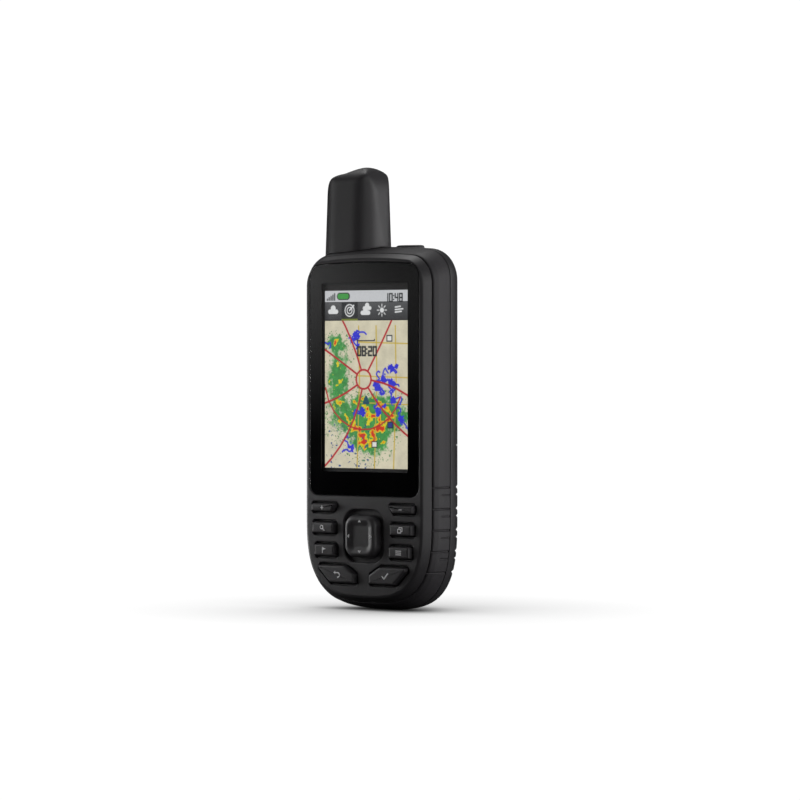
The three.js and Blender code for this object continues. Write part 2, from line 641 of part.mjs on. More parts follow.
class RingArc extends THREE.Curve {
  getPoint(t, target = new THREE.Vector3()) {
    const angle = Math.PI * (1 + t);
    const [c, s] = [Math.cos(angle), Math.sin(angle)];
    return target.set(ring.radius * c, depthY(ring.depth), ring.z + ring.radius * s);
  }
}

function dRing() {
  const bow = tube(new RingArc(), ring.wire, 16, 4);
  const bar = new THREE.CylinderGeometry(ring.wire, ring.wire, 2 * (ring.radius + ring.wire), 12);
  bar.rotateZ(Math.PI / 2);
  bar.translate(0, depthY(ring.depth), ring.z);
  return bow.add(solid(bar));
}
piece("d_ring", dRing(), "steel");

// ---- Inside ------------------------------------------------------------------------------

const caseGasketDepths = [grip.end + 0.05, rearStart - 0.05];
const gasketRing = caseBody(caseGasketDepths, innerInset + 0.2);
const gasketOpening = caseBody([grip.end - 1, rearStart + 1], innerInset + wall - 0.2);
piece("case_gasket", gasketRing.subtract(gasketOpening), "silicone");

const postClearance = (radius) => screwPosts.map(({ x, z }) => barAlongDepth(x, z, radius, [0, 30], 16));

function mainBoard() {
  const { depth, thickness, inset } = board;
  const blank = caseBody([depth, depth + thickness], inset);
  return cut(blank, postClearance(post.radius + 0.4));
}
piece("main_board", mainBoard(), "circuit");

function keypadLayer(depths) {
  const { inset, bottom, top } = keypadLayers;
  const blank = caseBody(depths, inset).intersect(block(wide, deep, [bottom, top]));
  return cut(blank, postClearance(post.radius + gap));
}
piece("keypad_mat", keypadLayer(keypadLayers.mat), "silicone");
piece("keypad_board", keypadLayer(keypadLayers.board), "circuit");
piece("beeper", barAlongDepth(15, 66, 5.5, [7.5, 10.2], 24), "card");
for (const { name, look, x, depth, z } of blocks) piece(name, block(x, depth, z), look);

class FeedCable extends THREE.Curve {
  getPoint(t, target = new THREE.Vector3()) {
    const x = THREE.MathUtils.lerp(antenna.x, -6, t);
    const depth = THREE.MathUtils.lerp(helix.depth - 1, 10.9, Math.sin((t * Math.PI) / 2));
    const z = THREE.MathUtils.lerp(helix.bottom - 0.5, 108.5, t);
    return target.set(x, depthY(depth), z);
  }
}
piece("antenna_cable", tube(new FeedCable(), 0.7, 8), "card");

function batteryCell(side, polarity) {
  const { radius, length, x, depth, bottom } = cell;
  const can = uprightBar(side * x, depth, radius, [bottom, bottom + length - 1], 28);
  const nubZ = polarity > 0 ? [bottom + length - 1.2, bottom + length] : [bottom - 1, bottom + 0.2];
  return can.add(uprightBar(side * x, depth, 2.7, nubZ, 16));
}
piece("battery_left", batteryCell(-1, 1), "cellWrap");
piece("battery_right", batteryCell(1, -1), "cellWrap");

// A coil that widens away from the cell.
class Coil extends THREE.Curve {
  constructor(x, from, to) {
    super();
    Object.assign(this, { x, from, to });
  }

  getPoint(t, target = new THREE.Vector3()) {
    const angle = t * Math.PI * 5;
    const radius = THREE.MathUtils.lerp(3, 1.9, t);
    const z = THREE.MathUtils.lerp(this.from, this.to, t);
    const x = this.x + radius * Math.cos(angle);
    return target.set(x, depthY(cell.depth) + radius * Math.sin(angle), z);
  }
}

const cellTop = cell.bottom + cell.length;
const wire = 0.35;
const lowCoil = new Coil(-cell.x, contact.coilLow + wire, cell.bottom - wire - 0.2);
const highCoil = new Coil(cell.x, contact.coilHigh - wire, cellTop - 1 + wire + 0.2);
piece("contact_spring_left", tube(lowCoil, wire, 32), "steel");
piece("contact_spring_right", tube(highCoil, wire, 32), "steel");
const highPlate = [contact.highBottom, contact.highBottom + contact.plate];
const lowPlate = [contact.lowTop - contact.plate, contact.lowTop];
piece("contact_plate_left", contactFace(-cell.x, highPlate), "brass");
piece("contact_plate_right", contactFace(cell.x, lowPlate), "brass");

const cardSlot = {
  halfWidth: card.halfWidth + 0.15,
  bottom: card.bottom - 0.2,
  top: card.top + 7,
  start: card.start - 0.08,
  end: card.end + 0.07,
};
piece("card_holder", middleBlock(cardCage).subtract(middleBlock(cardSlot)), "tin");
piece("memory_card", middleBlock(card), "card");

screwPosts.forEach(({ x, z }, i) => {
  const shank = barAlongDepth(x, z, screw.shank, [screw.tip, screw.headStart + 0.2], 12);
  const head = barAlongDepth(x, z, screw.headRadius, [screw.headStart, screw.headEnd], 16);
  const slot = block([x - 1.4, x + 1.4], [screw.headEnd - 0.6, screw.headEnd + 1], [z - 0.3, z + 0.3]);
  piece(`case_screw_${i + 1}`, head.add(shank).subtract(slot), "steel");
});

export default unit;
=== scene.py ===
import math

import bmesh
import bpy
import numpy as np
from mathutils import Matrix, Vector


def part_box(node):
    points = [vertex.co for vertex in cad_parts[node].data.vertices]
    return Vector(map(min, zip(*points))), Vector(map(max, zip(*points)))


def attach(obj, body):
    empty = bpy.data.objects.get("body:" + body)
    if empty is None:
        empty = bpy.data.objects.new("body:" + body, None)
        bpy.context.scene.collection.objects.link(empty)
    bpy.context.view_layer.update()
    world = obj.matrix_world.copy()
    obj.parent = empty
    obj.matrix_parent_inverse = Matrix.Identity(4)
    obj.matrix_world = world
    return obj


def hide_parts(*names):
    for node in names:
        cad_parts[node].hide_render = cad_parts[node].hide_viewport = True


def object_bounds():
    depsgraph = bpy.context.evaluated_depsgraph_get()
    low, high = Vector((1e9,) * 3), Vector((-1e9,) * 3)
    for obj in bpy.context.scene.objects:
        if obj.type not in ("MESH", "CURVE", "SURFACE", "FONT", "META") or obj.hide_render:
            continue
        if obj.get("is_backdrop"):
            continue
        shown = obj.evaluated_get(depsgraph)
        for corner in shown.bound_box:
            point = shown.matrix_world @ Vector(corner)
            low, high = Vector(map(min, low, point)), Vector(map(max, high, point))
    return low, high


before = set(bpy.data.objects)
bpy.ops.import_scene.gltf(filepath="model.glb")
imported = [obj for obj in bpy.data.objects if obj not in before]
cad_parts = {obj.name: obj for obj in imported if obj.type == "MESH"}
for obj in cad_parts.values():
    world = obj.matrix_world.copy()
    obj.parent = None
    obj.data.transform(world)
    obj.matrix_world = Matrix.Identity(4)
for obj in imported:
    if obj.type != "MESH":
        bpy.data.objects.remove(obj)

cad_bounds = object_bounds()
MM = 0.001


def edge(node, corner, axis):
    """One side of a CAD node's box, in millimetres. corner is 0 for the lowest, 1 for the highest."""
    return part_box(node)[corner][axis] / MM


# ---- Sizes in millimetres; depth runs backwards from the front face ----------------------

FRONT_Y = edge("display_lens", 0, 1)
HALF_WIDTH = edge("rear_housing", 1, 0)
BACK = edge("battery_door", 1, 1) - FRONT_Y
TOP = edge("antenna_cover", 1, 2)
WALL = 1.8
GAP = 0.3
STATIONS = (  # depth, half width, lowest, highest
    (0, 27, 5.2, 128.3),
    (0.4, 27.5, 4.7, 128.8),
    (3.2, 29.4, 3, 130.4),
    (3.6, 29.8, 2.6, 130.6),
    (5.5, 30.8, 1.6, 131.2),
    (8, 31.1, 0.8, 131.9),
    (10.5, 31.1, 0.3, 132.5),
)
SIDE_START, SIDE_REACH = 10.5, 18.7
END_START, END_REACH = 14, 15.2
TOP_CENTRE, TOP_SIZE = 118, 15
LOW_CENTRE = 14
REAR_POWER = 2.25
FLAT_DEPTH = 28.2
SHOULDER, BOWL_POWER, CORNER, ARCH = 36, 3.15, 11, 0.8
FLANK_END = 3.2
GRIP_START, GRIP_END, GRIP_WALL = 3.6, 11.8, 1.4
REAR_START = 12.1
PLATE = 2.2
GLASS = {"half": 25.6, "low": 41.9, "high": 127.1, "radius": 4, "thickness": 1.2}
SCREEN = {"half": 21.4, "low": 49.6, "high": 120.6}
KEY_OUT = 1.6
KEY_BACK = 2.1
ROCKER_Z = 27.2
DOOR_START, DOOR_LOW, DOOR_HIGH, DOOR_WALL = 16.5, 4.6, 60.4, 1.6
BAY_FLOOR, BAY_TOP = 13.6, 62.4
LATCH_Z, DISH_RADIUS, DISH_FLOOR = 30, 10.6, 31
RING_Z, RING_DEPTH, RING_RADIUS, WIRE = 31.8, 32.2, 6.2, 0.8
CAP = {"left": 16.8, "right": 26.6, "low": 105.5, "high": 120.5, "wall": 1.6, "swing_room": 2.4}
TORCH_Z = 112
SCREW_HOLE, SCREW_POST = 1.15, 2.4
BUTTON = {"x": 8.6, "depth": 16.6, "half": 6.0, "deep": 3.6}
BUTTON_GAP = 0.25
COIL_DEPTH, COIL_HOLE = 17.9, 4.5
CARD_POCKET = ((-6.2, 6.2), (12.6, 20), (21.8, 38.8))
PORT_LOW, PORT_HIGH = 110.9, 115.1
CONTACT_X, CONTACT_HALF, CONTACT_DEPTHS = 7.5, 4.2, (15.9, 24.7)
FAR = 60  # beyond the case on every side
POSTS = ((-23.6, 16.6), (23.6, 16.6), (-22.6, 44.8), (22.6, 44.8))
FIRST_GROOVE, GROOVE_PITCH, GROOVE_COUNT, SHORT_DROP = 45.3, 7.73, 5, 2.7


# ---- Meshes ------------------------------------------------------------------------------


def place(x, depth, z):
    return (x, FRONT_Y + depth, z)


def linked(name, data):
    """A new object in the scene that shows a mesh, a light or a camera."""
    obj = bpy.data.objects.new(name, data)
    bpy.context.scene.collection.objects.link(obj)
    return obj


def new_object(name, bm):
    bmesh.ops.recalc_face_normals(bm, faces=bm.faces)
    mesh = bpy.data.meshes.new(name)
    bm.to_mesh(mesh)
    bm.free()
    return linked(name, mesh)


def loft(rings, closed_along=False):
    """A closed solid through rings of 3-D points, each with the same number of points."""
    bm = bmesh.new()
    rows = [[bm.verts.new(p) for p in ring] for ring in rings]
    count = len(rows[0])
    pairs = list(zip(rows, rows[1:]))
    if closed_along:
        pairs.append((rows[-1], rows[0]))
    for a, b in pairs:
        for i in range(count):
            j = (i + 1) % count
            bm.faces.new((a[i], a[j], b[j], b[i]))
    if not closed_along:
        bm.faces.new(rows[0])
        bm.faces.new(rows[-1])
    return new_object("tool", bm)


def remove(objects):
    for obj in objects:
        mesh = obj.data
        bpy.data.objects.remove(obj)
        bpy.data.meshes.remove(mesh)


def bake(obj):
    """Puts the result of an object's modifiers into its mesh."""
    graph = bpy.context.evaluated_depsgraph_get()
    mesh = bpy.data.meshes.new_from_object(obj.evaluated_get(graph))
    obj.modifiers.clear()
    old = obj.data
    obj.data = mesh
    bpy.data.meshes.remove(old)


def combine(base, tools, operation):
    for tool in tools:
        modifier = base.modifiers.new("step", "BOOLEAN")
        modifier.operation = operation
        modifier.solver = "MANIFOLD"
        modifier.object = tool
    bake(base)
    remove(tools)
    return base


def cut(base, *tools):
    return combine(base, tools, "DIFFERENCE")


def add(base, *tools):
    return combine(base, tools, "UNION")


def keep(base, tool):
    return combine(base, (tool,), "INTERSECT")


def block(xs, depths, zs):
    corners = [(xs[0], depths[0]), (xs[1], depths[0]), (xs[1], depths[1]), (xs[0], depths[1])]
    return loft([[place(x, d, z) for x, d in corners] for z in zs])


def circle(radius, count):
    turns = [2 * math.pi * i / count for i in range(count)]
    return [(radius * math.cos(t), radius * math.sin(t)) for t in turns]


def bar(x, z, profile, count=64):
    """A turned solid along the depth; profile is a list of (depth, radius)."""
    return loft([[place(x + a, d, z + b) for a, b in circle(r, count)] for d, r in profile])


def oval(x, depth, half, deep, z, count=64):
    """A level ellipse."""
    return [place(x + half * a, depth + deep * b, z) for a, b in circle(1, count)]


def pushed(outlines):
    """A solid through flat outlines in X and Z, each a pair (points, depth)."""
    return loft([[place(x, depth, z) for x, z in points] for points, depth in outlines])


QUARTER = [math.pi / 2 * k / 5 for k in range(6)]  # a quarter turn in five steps


def grown(points, amount):
    """A convex outline moved outwards by an amount, corner by corner."""
    count = len(points)
    area = sum(points[i - 1][0] * points[i][1] - points[i][0] * points[i - 1][1] for i in range(count))
    side = 1 if area > 0 else -1
    lines = []
    for i in range(count):
        (x0, z0), (x1, z1) = points[i], points[(i + 1) % count]
        length = math.hypot(x1 - x0, z1 - z0)
        across = (side * (z1 - z0) / length, -side * (x1 - x0) / length)
        lines.append((across, across[0] * x0 + across[1] * z0 + amount))
    result = []
    for i in range(count):
        (a, b), (c, d) = lines[i - 1], lines[i]
        turn = a[0] * c[1] - a[1] * c[0]
        result.append(((b * c[1] - d * a[1]) / turn, (a[0] * d - c[0] * b) / turn))
    return result


def rounded(points, radius, steps=6):
    """A convex outline with every corner rounded, always with the same number of points."""
    count = len(points)
    result = []
    for i in range(count):
        here = Vector(points[i])
        before, after = Vector(points[i - 1]) - here, Vector(points[(i + 1) % count]) - here
        half_turn = before.angle(after) / 2
        reach = min(radius / math.tan(half_turn), 0.48 * min(before.length, after.length))
        arc = reach * math.tan(half_turn)
        inward = (before.normalized() + after.normalized()).normalized()
        centre = here + inward * (arc / math.sin(half_turn))
        start = here + before.normalized() * reach - centre
        end = here + after.normalized() * reach - centre
        sweep = start.angle_signed(end)
        for k in range(steps + 1):
            spin = Matrix.Rotation(-sweep * k / steps, 2)
            result.append(tuple(centre + spin @ start))
    return result


def rectangle(x0, x1, z0, z1):
    return [(x0, z0), (x1, z0), (x1, z1), (x0, z1)]


def rim(depth, radius):
    """How far an opening's rounded rim has widened at a depth below the face."""
    inside = max(radius - depth, 0)
    return radius - math.sqrt(max(radius**2 - inside**2, 0))


def opening(points, corner, bottom, rim_radius, steps=6):
    """A cutter for a hole in the front face, with a rounded rim and straight walls."""
    depths = [rim_radius * (1 - math.cos(t)) for t in QUARTER]
    levels = [(-3, rim_radius)] + [(d, rim(d, rim_radius)) for d in depths] + [(bottom, 0)]
    return pushed([(rounded(grown(points, g), corner + g, steps), d) for d, g in levels])


# ---- The form of the case ----------------------------------------------------------------


def fall(distance, reach):
    share = min(max(distance / reach, 0), 1)
    return (1 - share**REAR_POWER) ** (1 / REAR_POWER)


def section(depth, inset=0.0):
    """Half width, lowest, highest and corner radius of the case at a depth."""
    columns = list(zip(*STATIONS))
    front_half, front_low, front_top = (float(np.interp(depth, columns[0], c)) for c in columns[1:])
    share = min(max((depth - SIDE_START) / (END_START - SIDE_START), 0), 1)
    rise = share * share * (3 - 2 * share)
    crest = front_top + (TOP_CENTRE + TOP_SIZE - front_top) * rise
    trough = front_low * (1 - rise)
    half = (front_half - inset) * fall(depth - SIDE_START, SIDE_REACH - inset)
    top_fall = fall(depth - END_START, END_REACH - inset)
    high = TOP_CENTRE + (crest - TOP_CENTRE - inset) * top_fall
    low = LOW_CENTRE - (LOW_CENTRE - trough - inset) * top_fall
    return half, low, high, CORNER - inset - (HALF_WIDTH - front_half) / 2


def outline(half, low, high, radius, count=220):
    """Front view of a section: a squared-off bowl below, straight sides and a low arch."""
    corner = min(radius, half * 0.8)
    flat = half - corner
    sweep = np.linspace(math.pi, 2 * math.pi, 161)
    c, s = np.cos(sweep), np.sin(sweep)
    x = half * np.sign(c) * np.abs(c) ** (2 / BOWL_POWER)
    z = SHOULDER - (SHOULDER - low) * np.abs(s) ** (2 / BOWL_POWER)
    turn = np.linspace(0, math.pi / 2, 17)
    corner_z = high - ARCH - corner + corner * np.sin(turn)
    across = np.linspace(flat, -flat, 25)[1:-1]
    x = np.concatenate([x, flat + corner * np.cos(turn), across, -flat - corner * np.cos(turn[::-1])])
    arch_z = high - ARCH * (across / flat) ** 2
    z = np.concatenate([z, corner_z, arch_z, corner_z[::-1]])
    x, z = np.append(x, x[0]), np.append(z, z[0])
    run = np.concatenate([[0], np.cumsum(np.hypot(np.diff(x), np.diff(z)))])
    spots = np.linspace(0, run[-1], count, endpoint=False)
    return list(zip(np.interp(spots, run, x), np.interp(spots, run, z)))


def case(start, end, inset=0.0, round_start=0.0, round_end=0.0):
    """The case between two depths, drawn in by inset, with rounded ends."""
    rows = [(start + round_start * (1 - math.cos(t)), round_start * (1 - math.sin(t))) for t in QUARTER]
    fixed = [s[0] for s in STATIONS] + [1.8 + 0.8 * k for k in range(34)]
    inner = [d for d in sorted(fixed) if start + round_start + 0.1 < d < end - round_end - 0.1]
    rows += [(d, 0) for d in inner]
    rows += [(end - round_end * (1 - math.cos(t)), round_end * (1 - math.sin(t))) for t in QUARTER[::-1]]
    if not round_start:
        rows = [(start, 0)] + rows[6:]
    if not round_end:
        rows = rows[:-6] + [(end, 0)]
    return pushed([(outline(*section(d, inset + extra)), d) for d, extra in rows])


def spine(inset=0.0):
    """The raised spine along the back."""
    soft, root = 1.3, 22
    back = BACK - inset
    rows = [(root + 0.9 * k, 0) for k in range(12)]
    rows += [(back - soft * (1 - math.cos(t)), soft * (1 - math.sin(t))) for t in QUARTER[::-1]]
    known = (root, BACK - 2.4, BACK)
    outlines = []
    for depth, extra in rows:
        half = float(np.interp(depth, known, (17.5, 14, 13.4))) - inset - extra
        slope = float(np.interp(depth, known, (0, 3.6, 5.6)))
        points = rectangle(-half, half, 4.2 + slope + inset + extra, 126 - slope - inset - extra)
        outlines.append((rounded(points, 5, 8), depth))
    return pushed(outlines)


def rear_body(inset=0.0, start=REAR_START - 1, rounding=0.0):
    return add(case(start, FLAT_DEPTH - inset, inset, rounding), spine(inset))


def skin(thickness):
    return cut(rear_body(0, REAR_START, 0.3), rear_body(thickness))


def groove_levels():
    """Height, share of the band's depth it runs over, and relative width of every groove."""
    for i in range(GROOVE_COUNT):
        z = FIRST_GROOVE - i * GROOVE_PITCH
        yield z, 1.0, 1.0
        if i < GROOVE_COUNT - 1:
            yield z - SHORT_DROP, 0.6, 0.7


def surface_x(depth, z):
    """Half width of the case at a depth and a height below the shoulder."""
    half, low, _, _ = section(depth)
    share = min(max((SHOULDER - z) / (SHOULDER - low), 0), 1)
    return half * (1 - share**BOWL_POWER) ** (1 / BOWL_POWER)


def band_grooves(start, end, deep, mouth):
    """Wedges that follow the grip band and cut level grooves into both of its sides."""
    tools = []
    for z, share, width in groove_levels():
        first = end + 0.5 - (end - start + 1) * share
        for side in (-1, 1):
            rings = []
            for depth in np.linspace(first, end + 0.5, 12):
                tip = surface_x(depth, z) - deep * width
                out = tip + 2.5
                open_half = mouth / 2 * 2.5 / deep
                profile = [(tip, z - 0.1), (out, z - open_half), (out, z + open_half), (tip, z + 0.1)]
                rings.append([place(side * x, depth, height) for x, height in profile])
            tools.append(loft(rings))
    return tools


def lid_grooves(steps):
    """Grooves round the back corners of the case; steps is a list of (depth, half width)."""
    tools = []
    for deep, half in steps:
        bars = []
        for z, _, width in groove_levels():
            for xs in ((15.2, 40), (-40, -15.2)):
                bars.append(block(xs, (DOOR_START - 1, 27.5), (z - half * width, z + half * width)))
        tools.append(cut(add(*bars), rear_body(deep)))
    return tools


# ---- Materials ---------------------------------------------------------------------------


def add_node(tree, kind, feeds=(), **values):
    """A new shader node. values set its inputs by name; feeds are (input, socket) pairs to link."""
    made = tree.nodes.new("ShaderNode" + kind)
    for name, value in values.items():
        made.inputs[name.replace("_", " ")].default_value = value
    for key, socket in feeds:
        tree.links.new(socket, made.inputs[key])
    return made


def start_material(name):
    material = bpy.data.materials.new(name)
    material.use_nodes = True
    tree = material.node_tree
    where = add_node(tree, "TexCoord").outputs["Object"]
    return material, tree, tree.nodes["Principled BSDF"], where


def feed(tree, shader, **sockets):
    """Links each socket into the shader's input of that name."""
    for name, socket in sockets.items():
        tree.links.new(socket, shader.inputs[name.replace("_", " ")])


def show(tree, shader_socket):
    """Makes a shader the one that the material shows."""
    tree.links.new(shader_socket, tree.nodes["Material Output"].inputs["Surface"])


def noise(tree, where, scale, detail):
    made = add_node(tree, "TexNoise", [("Vector", where)], Scale=scale, Detail=detail, Roughness=0.6)
    return made.outputs["Fac"]


def ramp(tree, value, low, high):
    made = add_node(tree, "ValToRGB", [("Fac", value)])
    for element, position, colour in zip(made.color_ramp.elements, (0.3, 0.7), (low, high)):
        element.position = position
        element.color = (*colour, 1)
    return made.outputs["Color"]


def spread(tree, value, low, high):
    limits = {"From_Min": 0.3, "From_Max": 0.7, "To_Min": low, "To_Max": high}
    return add_node(tree, "MapRange", [("Value", value)], **limits).outputs["Result"]


def multiplied(tree, first, second):
    made = add_node(tree, "Math", [(0, first), (1, second)])
    made.operation = "MULTIPLY"
    return made.outputs["Value"]


def surface(name, colour, roughness, grain=2600, relief=0.25, change=0.12, metal=0.0, specular=0.5):
    """A moulded, painted or plated surface: fine grain, and slow changes of tint and polish."""
    material, tree, shader, where = start_material(name)
    slow = noise(tree, where, 55, 4)
    fine = noise(tree, where, grain, 2)
    dark = tuple(c * (1 - change) for c in colour)
    light = tuple(c * (1 + change) for c in colour)
    bump = add_node(tree, "Bump", [("Height", fine)], Strength=relief, Distance=0.00006)
    feed(
        tree, shader, Base_Color=ramp(tree, slow, dark, light), Normal=bump.outputs["Normal"],
        Roughness=spread(tree, slow, roughness * 0.93, roughness * 1.07),
    )
    shader.inputs["Metallic"].default_value = metal
    shader.inputs["Specular IOR Level"].default_value = specular
    return material


def brushed(name, colour, roughness):
    """Metal with fine brush lines along X."""
    material, tree, shader, where = start_material(name)
    mapping = add_node(tree, "Mapping", [("Vector", where)], Scale=(30, 900, 900))
    lines = noise(tree, mapping.outputs["Vector"], 1.0, 4)
    dark = tuple(c * 0.75 for c in colour)
    feed(
        tree, shader, Base_Color=ramp(tree, lines, dark, colour),
        Roughness=spread(tree, lines, roughness * 0.8, roughness * 1.3),
    )
    shader.inputs["Metallic"].default_value = 1
    return material


def window_glass():
    """Clear glass over the display: it lets the picture through and adds a soft reflection."""
    material, tree, shader, where = start_material("clear_window")
    tree.nodes.remove(shader)
    smear = spread(tree, noise(tree, where, 35, 3), 0.1, 0.16)
    clear = add_node(tree, "BsdfTransparent")
    gloss = add_node(tree, "BsdfGlossy", [("Roughness", smear)])
    back = add_node(tree, "NewGeometry").outputs["Backfacing"]
    outer_only = add_node(tree, "MapRange", [("Value", back)], To_Min=1, To_Max=0)
    mirrored = add_node(tree, "Fresnel", IOR=1.45).outputs["Fac"]
    share = multiplied(tree, mirrored, outer_only.outputs["Result"])
    parts = [("Fac", share), (1, clear.outputs["BSDF"]), (2, gloss.outputs["BSDF"])]
    show(tree, add_node(tree, "MixShader", parts).outputs["Shader"])
    return material


def lit_display():
    """The backlit picture: each dot takes its own colour, with a faint unevenness."""
    material, tree, shader, where = start_material("lit_display")
    colour = add_node(tree, "VertexColor")
    colour.layer_name = "dots"
    shade = ramp(tree, noise(tree, where, 1800, 1), (0.94, 0.94, 0.94), (1, 1, 1))
    mix = tree.nodes.new("ShaderNodeMix")
    mix.data_type = "RGBA"
    mix.blend_type = "MULTIPLY"
    mix.inputs["Factor"].default_value = 1
    tree.links.new(colour.outputs["Color"], mix.inputs["A"])
    tree.links.new(shade, mix.inputs["B"])
    feed(tree, shader, Emission_Color=mix.outputs["Result"])
    shader.inputs["Base Color"].default_value = (0.004, 0.004, 0.004, 1)
    shader.inputs["Roughness"].default_value = 0.5
    shader.inputs["Emission Strength"].default_value = 0.92
    return material


SHELL = surface("moulded_shell", (0.026, 0.0245, 0.027), 0.5, 2600, 0.3)
REAR_SHELL = surface("textured_rear_shell", (0.027, 0.0255, 0.028), 0.5, 1500, 0.5)
RUBBER = surface("grip_rubber", (0.03, 0.028, 0.031), 0.6, 3200, 0.4, specular=0.4)
KEYCAP = surface("key_rubber", (0.03, 0.028, 0.031), 0.52, 3000, 0.2)
PAINT = surface("light_marking", (0.86, 0.86, 0.87), 0.5, 2500, 0.1)
BLACK_GLASS = surface("black_glass", (0.0015, 0.0015, 0.002), 0.1, 90, 0.01, 0.3)
WINDOW = window_glass()
LIT = lit_display()
FOAM = surface("foam_seal", (0.01, 0.01, 0.01), 0.95, 900, 0.9)
SILICONE = surface("silicone_rubber", (0.09, 0.1, 0.11), 0.6, 1800, 0.3)
BOARD = surface("solder_mask", (0.014, 0.105, 0.033), 0.45, 400, 0.4, 0.35)
TIN = brushed("plated_tin", (0.48, 0.5, 0.52), 0.3)
BRASS = brushed("plated_brass", (0.43, 0.27, 0.06), 0.3)
STEEL = brushed("satin_steel", (0.3, 0.31, 0.32), 0.32)
CERAMIC = surface("bare_ceramic", (0.69, 0.61, 0.48), 0.5, 1200, 0.3, 0.06)
CELL_WRAP = surface("cell_wrap", (0.026, 0.16, 0.27), 0.3, 500, 0.15, 0.15, 0.6)
LAMP_GLASS = surface("lamp_lens", (0.6, 0.64, 0.66), 0.12, 700, 0.6, 0.1)
FILM = surface("amber_film", (0.46, 0.14, 0.013), 0.35, 800, 0.2)
CARD = surface("smooth_black_plastic", (0.006, 0.006, 0.007), 0.35, 1500, 0.15)

INSIDE = (
    (FOAM, "display_gasket"),
    (CARD, "display_module antenna_cable memory_card beeper"),
    (SILICONE, "keypad_mat case_gasket"),
    (BOARD, "keypad_board main_board"),
    (TIN, "shield_can card_holder usb_port torch_led power_switch"),
    (CERAMIC, "helix_antenna"),
    (CELL_WRAP, "battery_left battery_right"),
    (STEEL, "contact_spring_left contact_spring_right case_screw_1 case_screw_2 case_screw_3 case_screw_4"),
    (BRASS, "contact_plate_left contact_plate_right"),
    (FILM, "display_flex"),
    (KEYCAP, "rocker_pivot"),
)
for node_material, node_names in INSIDE:
    for node_name in node_names.split():
        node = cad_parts[node_name]
        node.data.materials.clear()
        node.data.materials.append(node_material)

MERGE = 0.0005  # points nearer than this are one point


def finish_piece(obj, name, material, body, replaces=(), smooth_angle=32, bevel=0.0):
    """Names a piece, shades it, brings it to metres and fixes it to its body."""
    if bevel:
        modifier = obj.modifiers.new("soft_edges", "BEVEL")
        modifier.width = bevel
        modifier.segments = 2
        modifier.limit_method = "ANGLE"
        modifier.angle_limit = math.radians(40)
        modifier.use_clamp_overlap = True
        bake(obj)
    mesh = obj.data
    bm = bmesh.new()
    bm.from_mesh(mesh)
    bmesh.ops.remove_doubles(bm, verts=bm.verts, dist=MERGE)
    bmesh.ops.dissolve_degenerate(bm, edges=bm.edges, dist=MERGE)
    for face in bm.faces:
        face.smooth = True
    for e in bm.edges:
        e.smooth = len(e.link_faces) != 2 or e.calc_face_angle() < math.radians(smooth_angle)
    bm.to_mesh(mesh)
    bm.free()
    mesh.transform(Matrix.Scale(MM, 4))
    obj.name = name
    mesh.name = name
    mesh.materials.clear()
    mesh.materials.append(material)
    for polygon in mesh.polygons:
        polygon.material_index = 0
    modifier = obj.modifiers.new("even_shading", "WEIGHTED_NORMAL")
    modifier.keep_sharp = True
    modifier.weight = 80
    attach(obj, body)
    if replaces:
        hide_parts(*replaces)


# ---- Front shell, lens and grip ----------------------------------------------------------

NO_CUT = (0.4, 0.4)
KEYS = {  # across from the middle, up, and corners cut off as (across, up)
    "zoom": {"x": (12.6, 24), "z": (35.7, 38.9), "inner_low": (1.8, 2.6)},
    "find": {"x": (13.1, 23.6), "z": (27.7, 32.1), "inner_high": (0.5, 0.5)},
    "mark": {"x": (12.7, 22.5), "z": (19.4, 24), "inner_high": (0.5, 0.5)},
    "quit": {"x": (3.4, 20.6), "z": (9.7, 16.4), "inner_high": (5, 3), "outer_low": (5.5, 5.2)},
}
KEY_NODES = {
    "zoom": ("key_zoom_in", "key_zoom_out"),
    "find": ("key_find", "key_page"),
    "mark": ("key_mark", "key_menu"),
    "quit": ("key_quit", "key_enter"),
}


def key_outline(row, side):
    (inner, outer), (low, high) = row["x"], row["z"]
    inner_high, inner_low = row.get("inner_high", NO_CUT), row.get("inner_low", NO_CUT)
    outer_low = row.get("outer_low", NO_CUT)
    points = [
        (inner, low + inner_low[1]), (inner + inner_low[0], low),
        (outer - outer_low[0], low), (outer, low + outer_low[1]),
        (outer, high - NO_CUT[1]), (outer - NO_CUT[0], high),
        (inner + inner_high[0], high), (inner, high - inner_high[1]),
    ]
    points = [(side * x, z) for x, z in points]
    return points if side > 0 else points[::-1]


def each_key():
    for row_name, row in KEYS.items():
        for side in (-1, 1):
            yield row_name, KEY_NODES[row_name][(side + 1) // 2], key_outline(row, side)


GLASS_ARCH = 1.1


def glass_outline(growth=0.0):
    """The lens from the front: rounded corners and a top edge that arches a little."""
    points = rectangle(-GLASS["half"], GLASS["half"], GLASS["low"], GLASS["high"])
    corners = rounded(grown(points, growth), GLASS["radius"] + growth, 10)
    spots = []
    for i, (x, z) in enumerate(corners):
        spots.append((x, z))
        if i in (10, 21, 32, 43):
            after = corners[(i + 1) % len(corners)]
            spots += [(x + (after[0] - x) * k / 12, z + (after[1] - z) * k / 12) for k in range(1, 12)]
    limit = GLASS["high"] - GLASS["radius"] - 0.01
    return [(x, z - GLASS_ARCH * (x / GLASS["half"]) ** 2 if z > limit else z) for x, z in spots]


def screen_box(growth):
    """The display's outline from the front, moved outwards by growth."""
    half = SCREEN["half"] + growth
    return rectangle(-half, half, SCREEN["low"] - growth, SCREEN["high"] + growth)


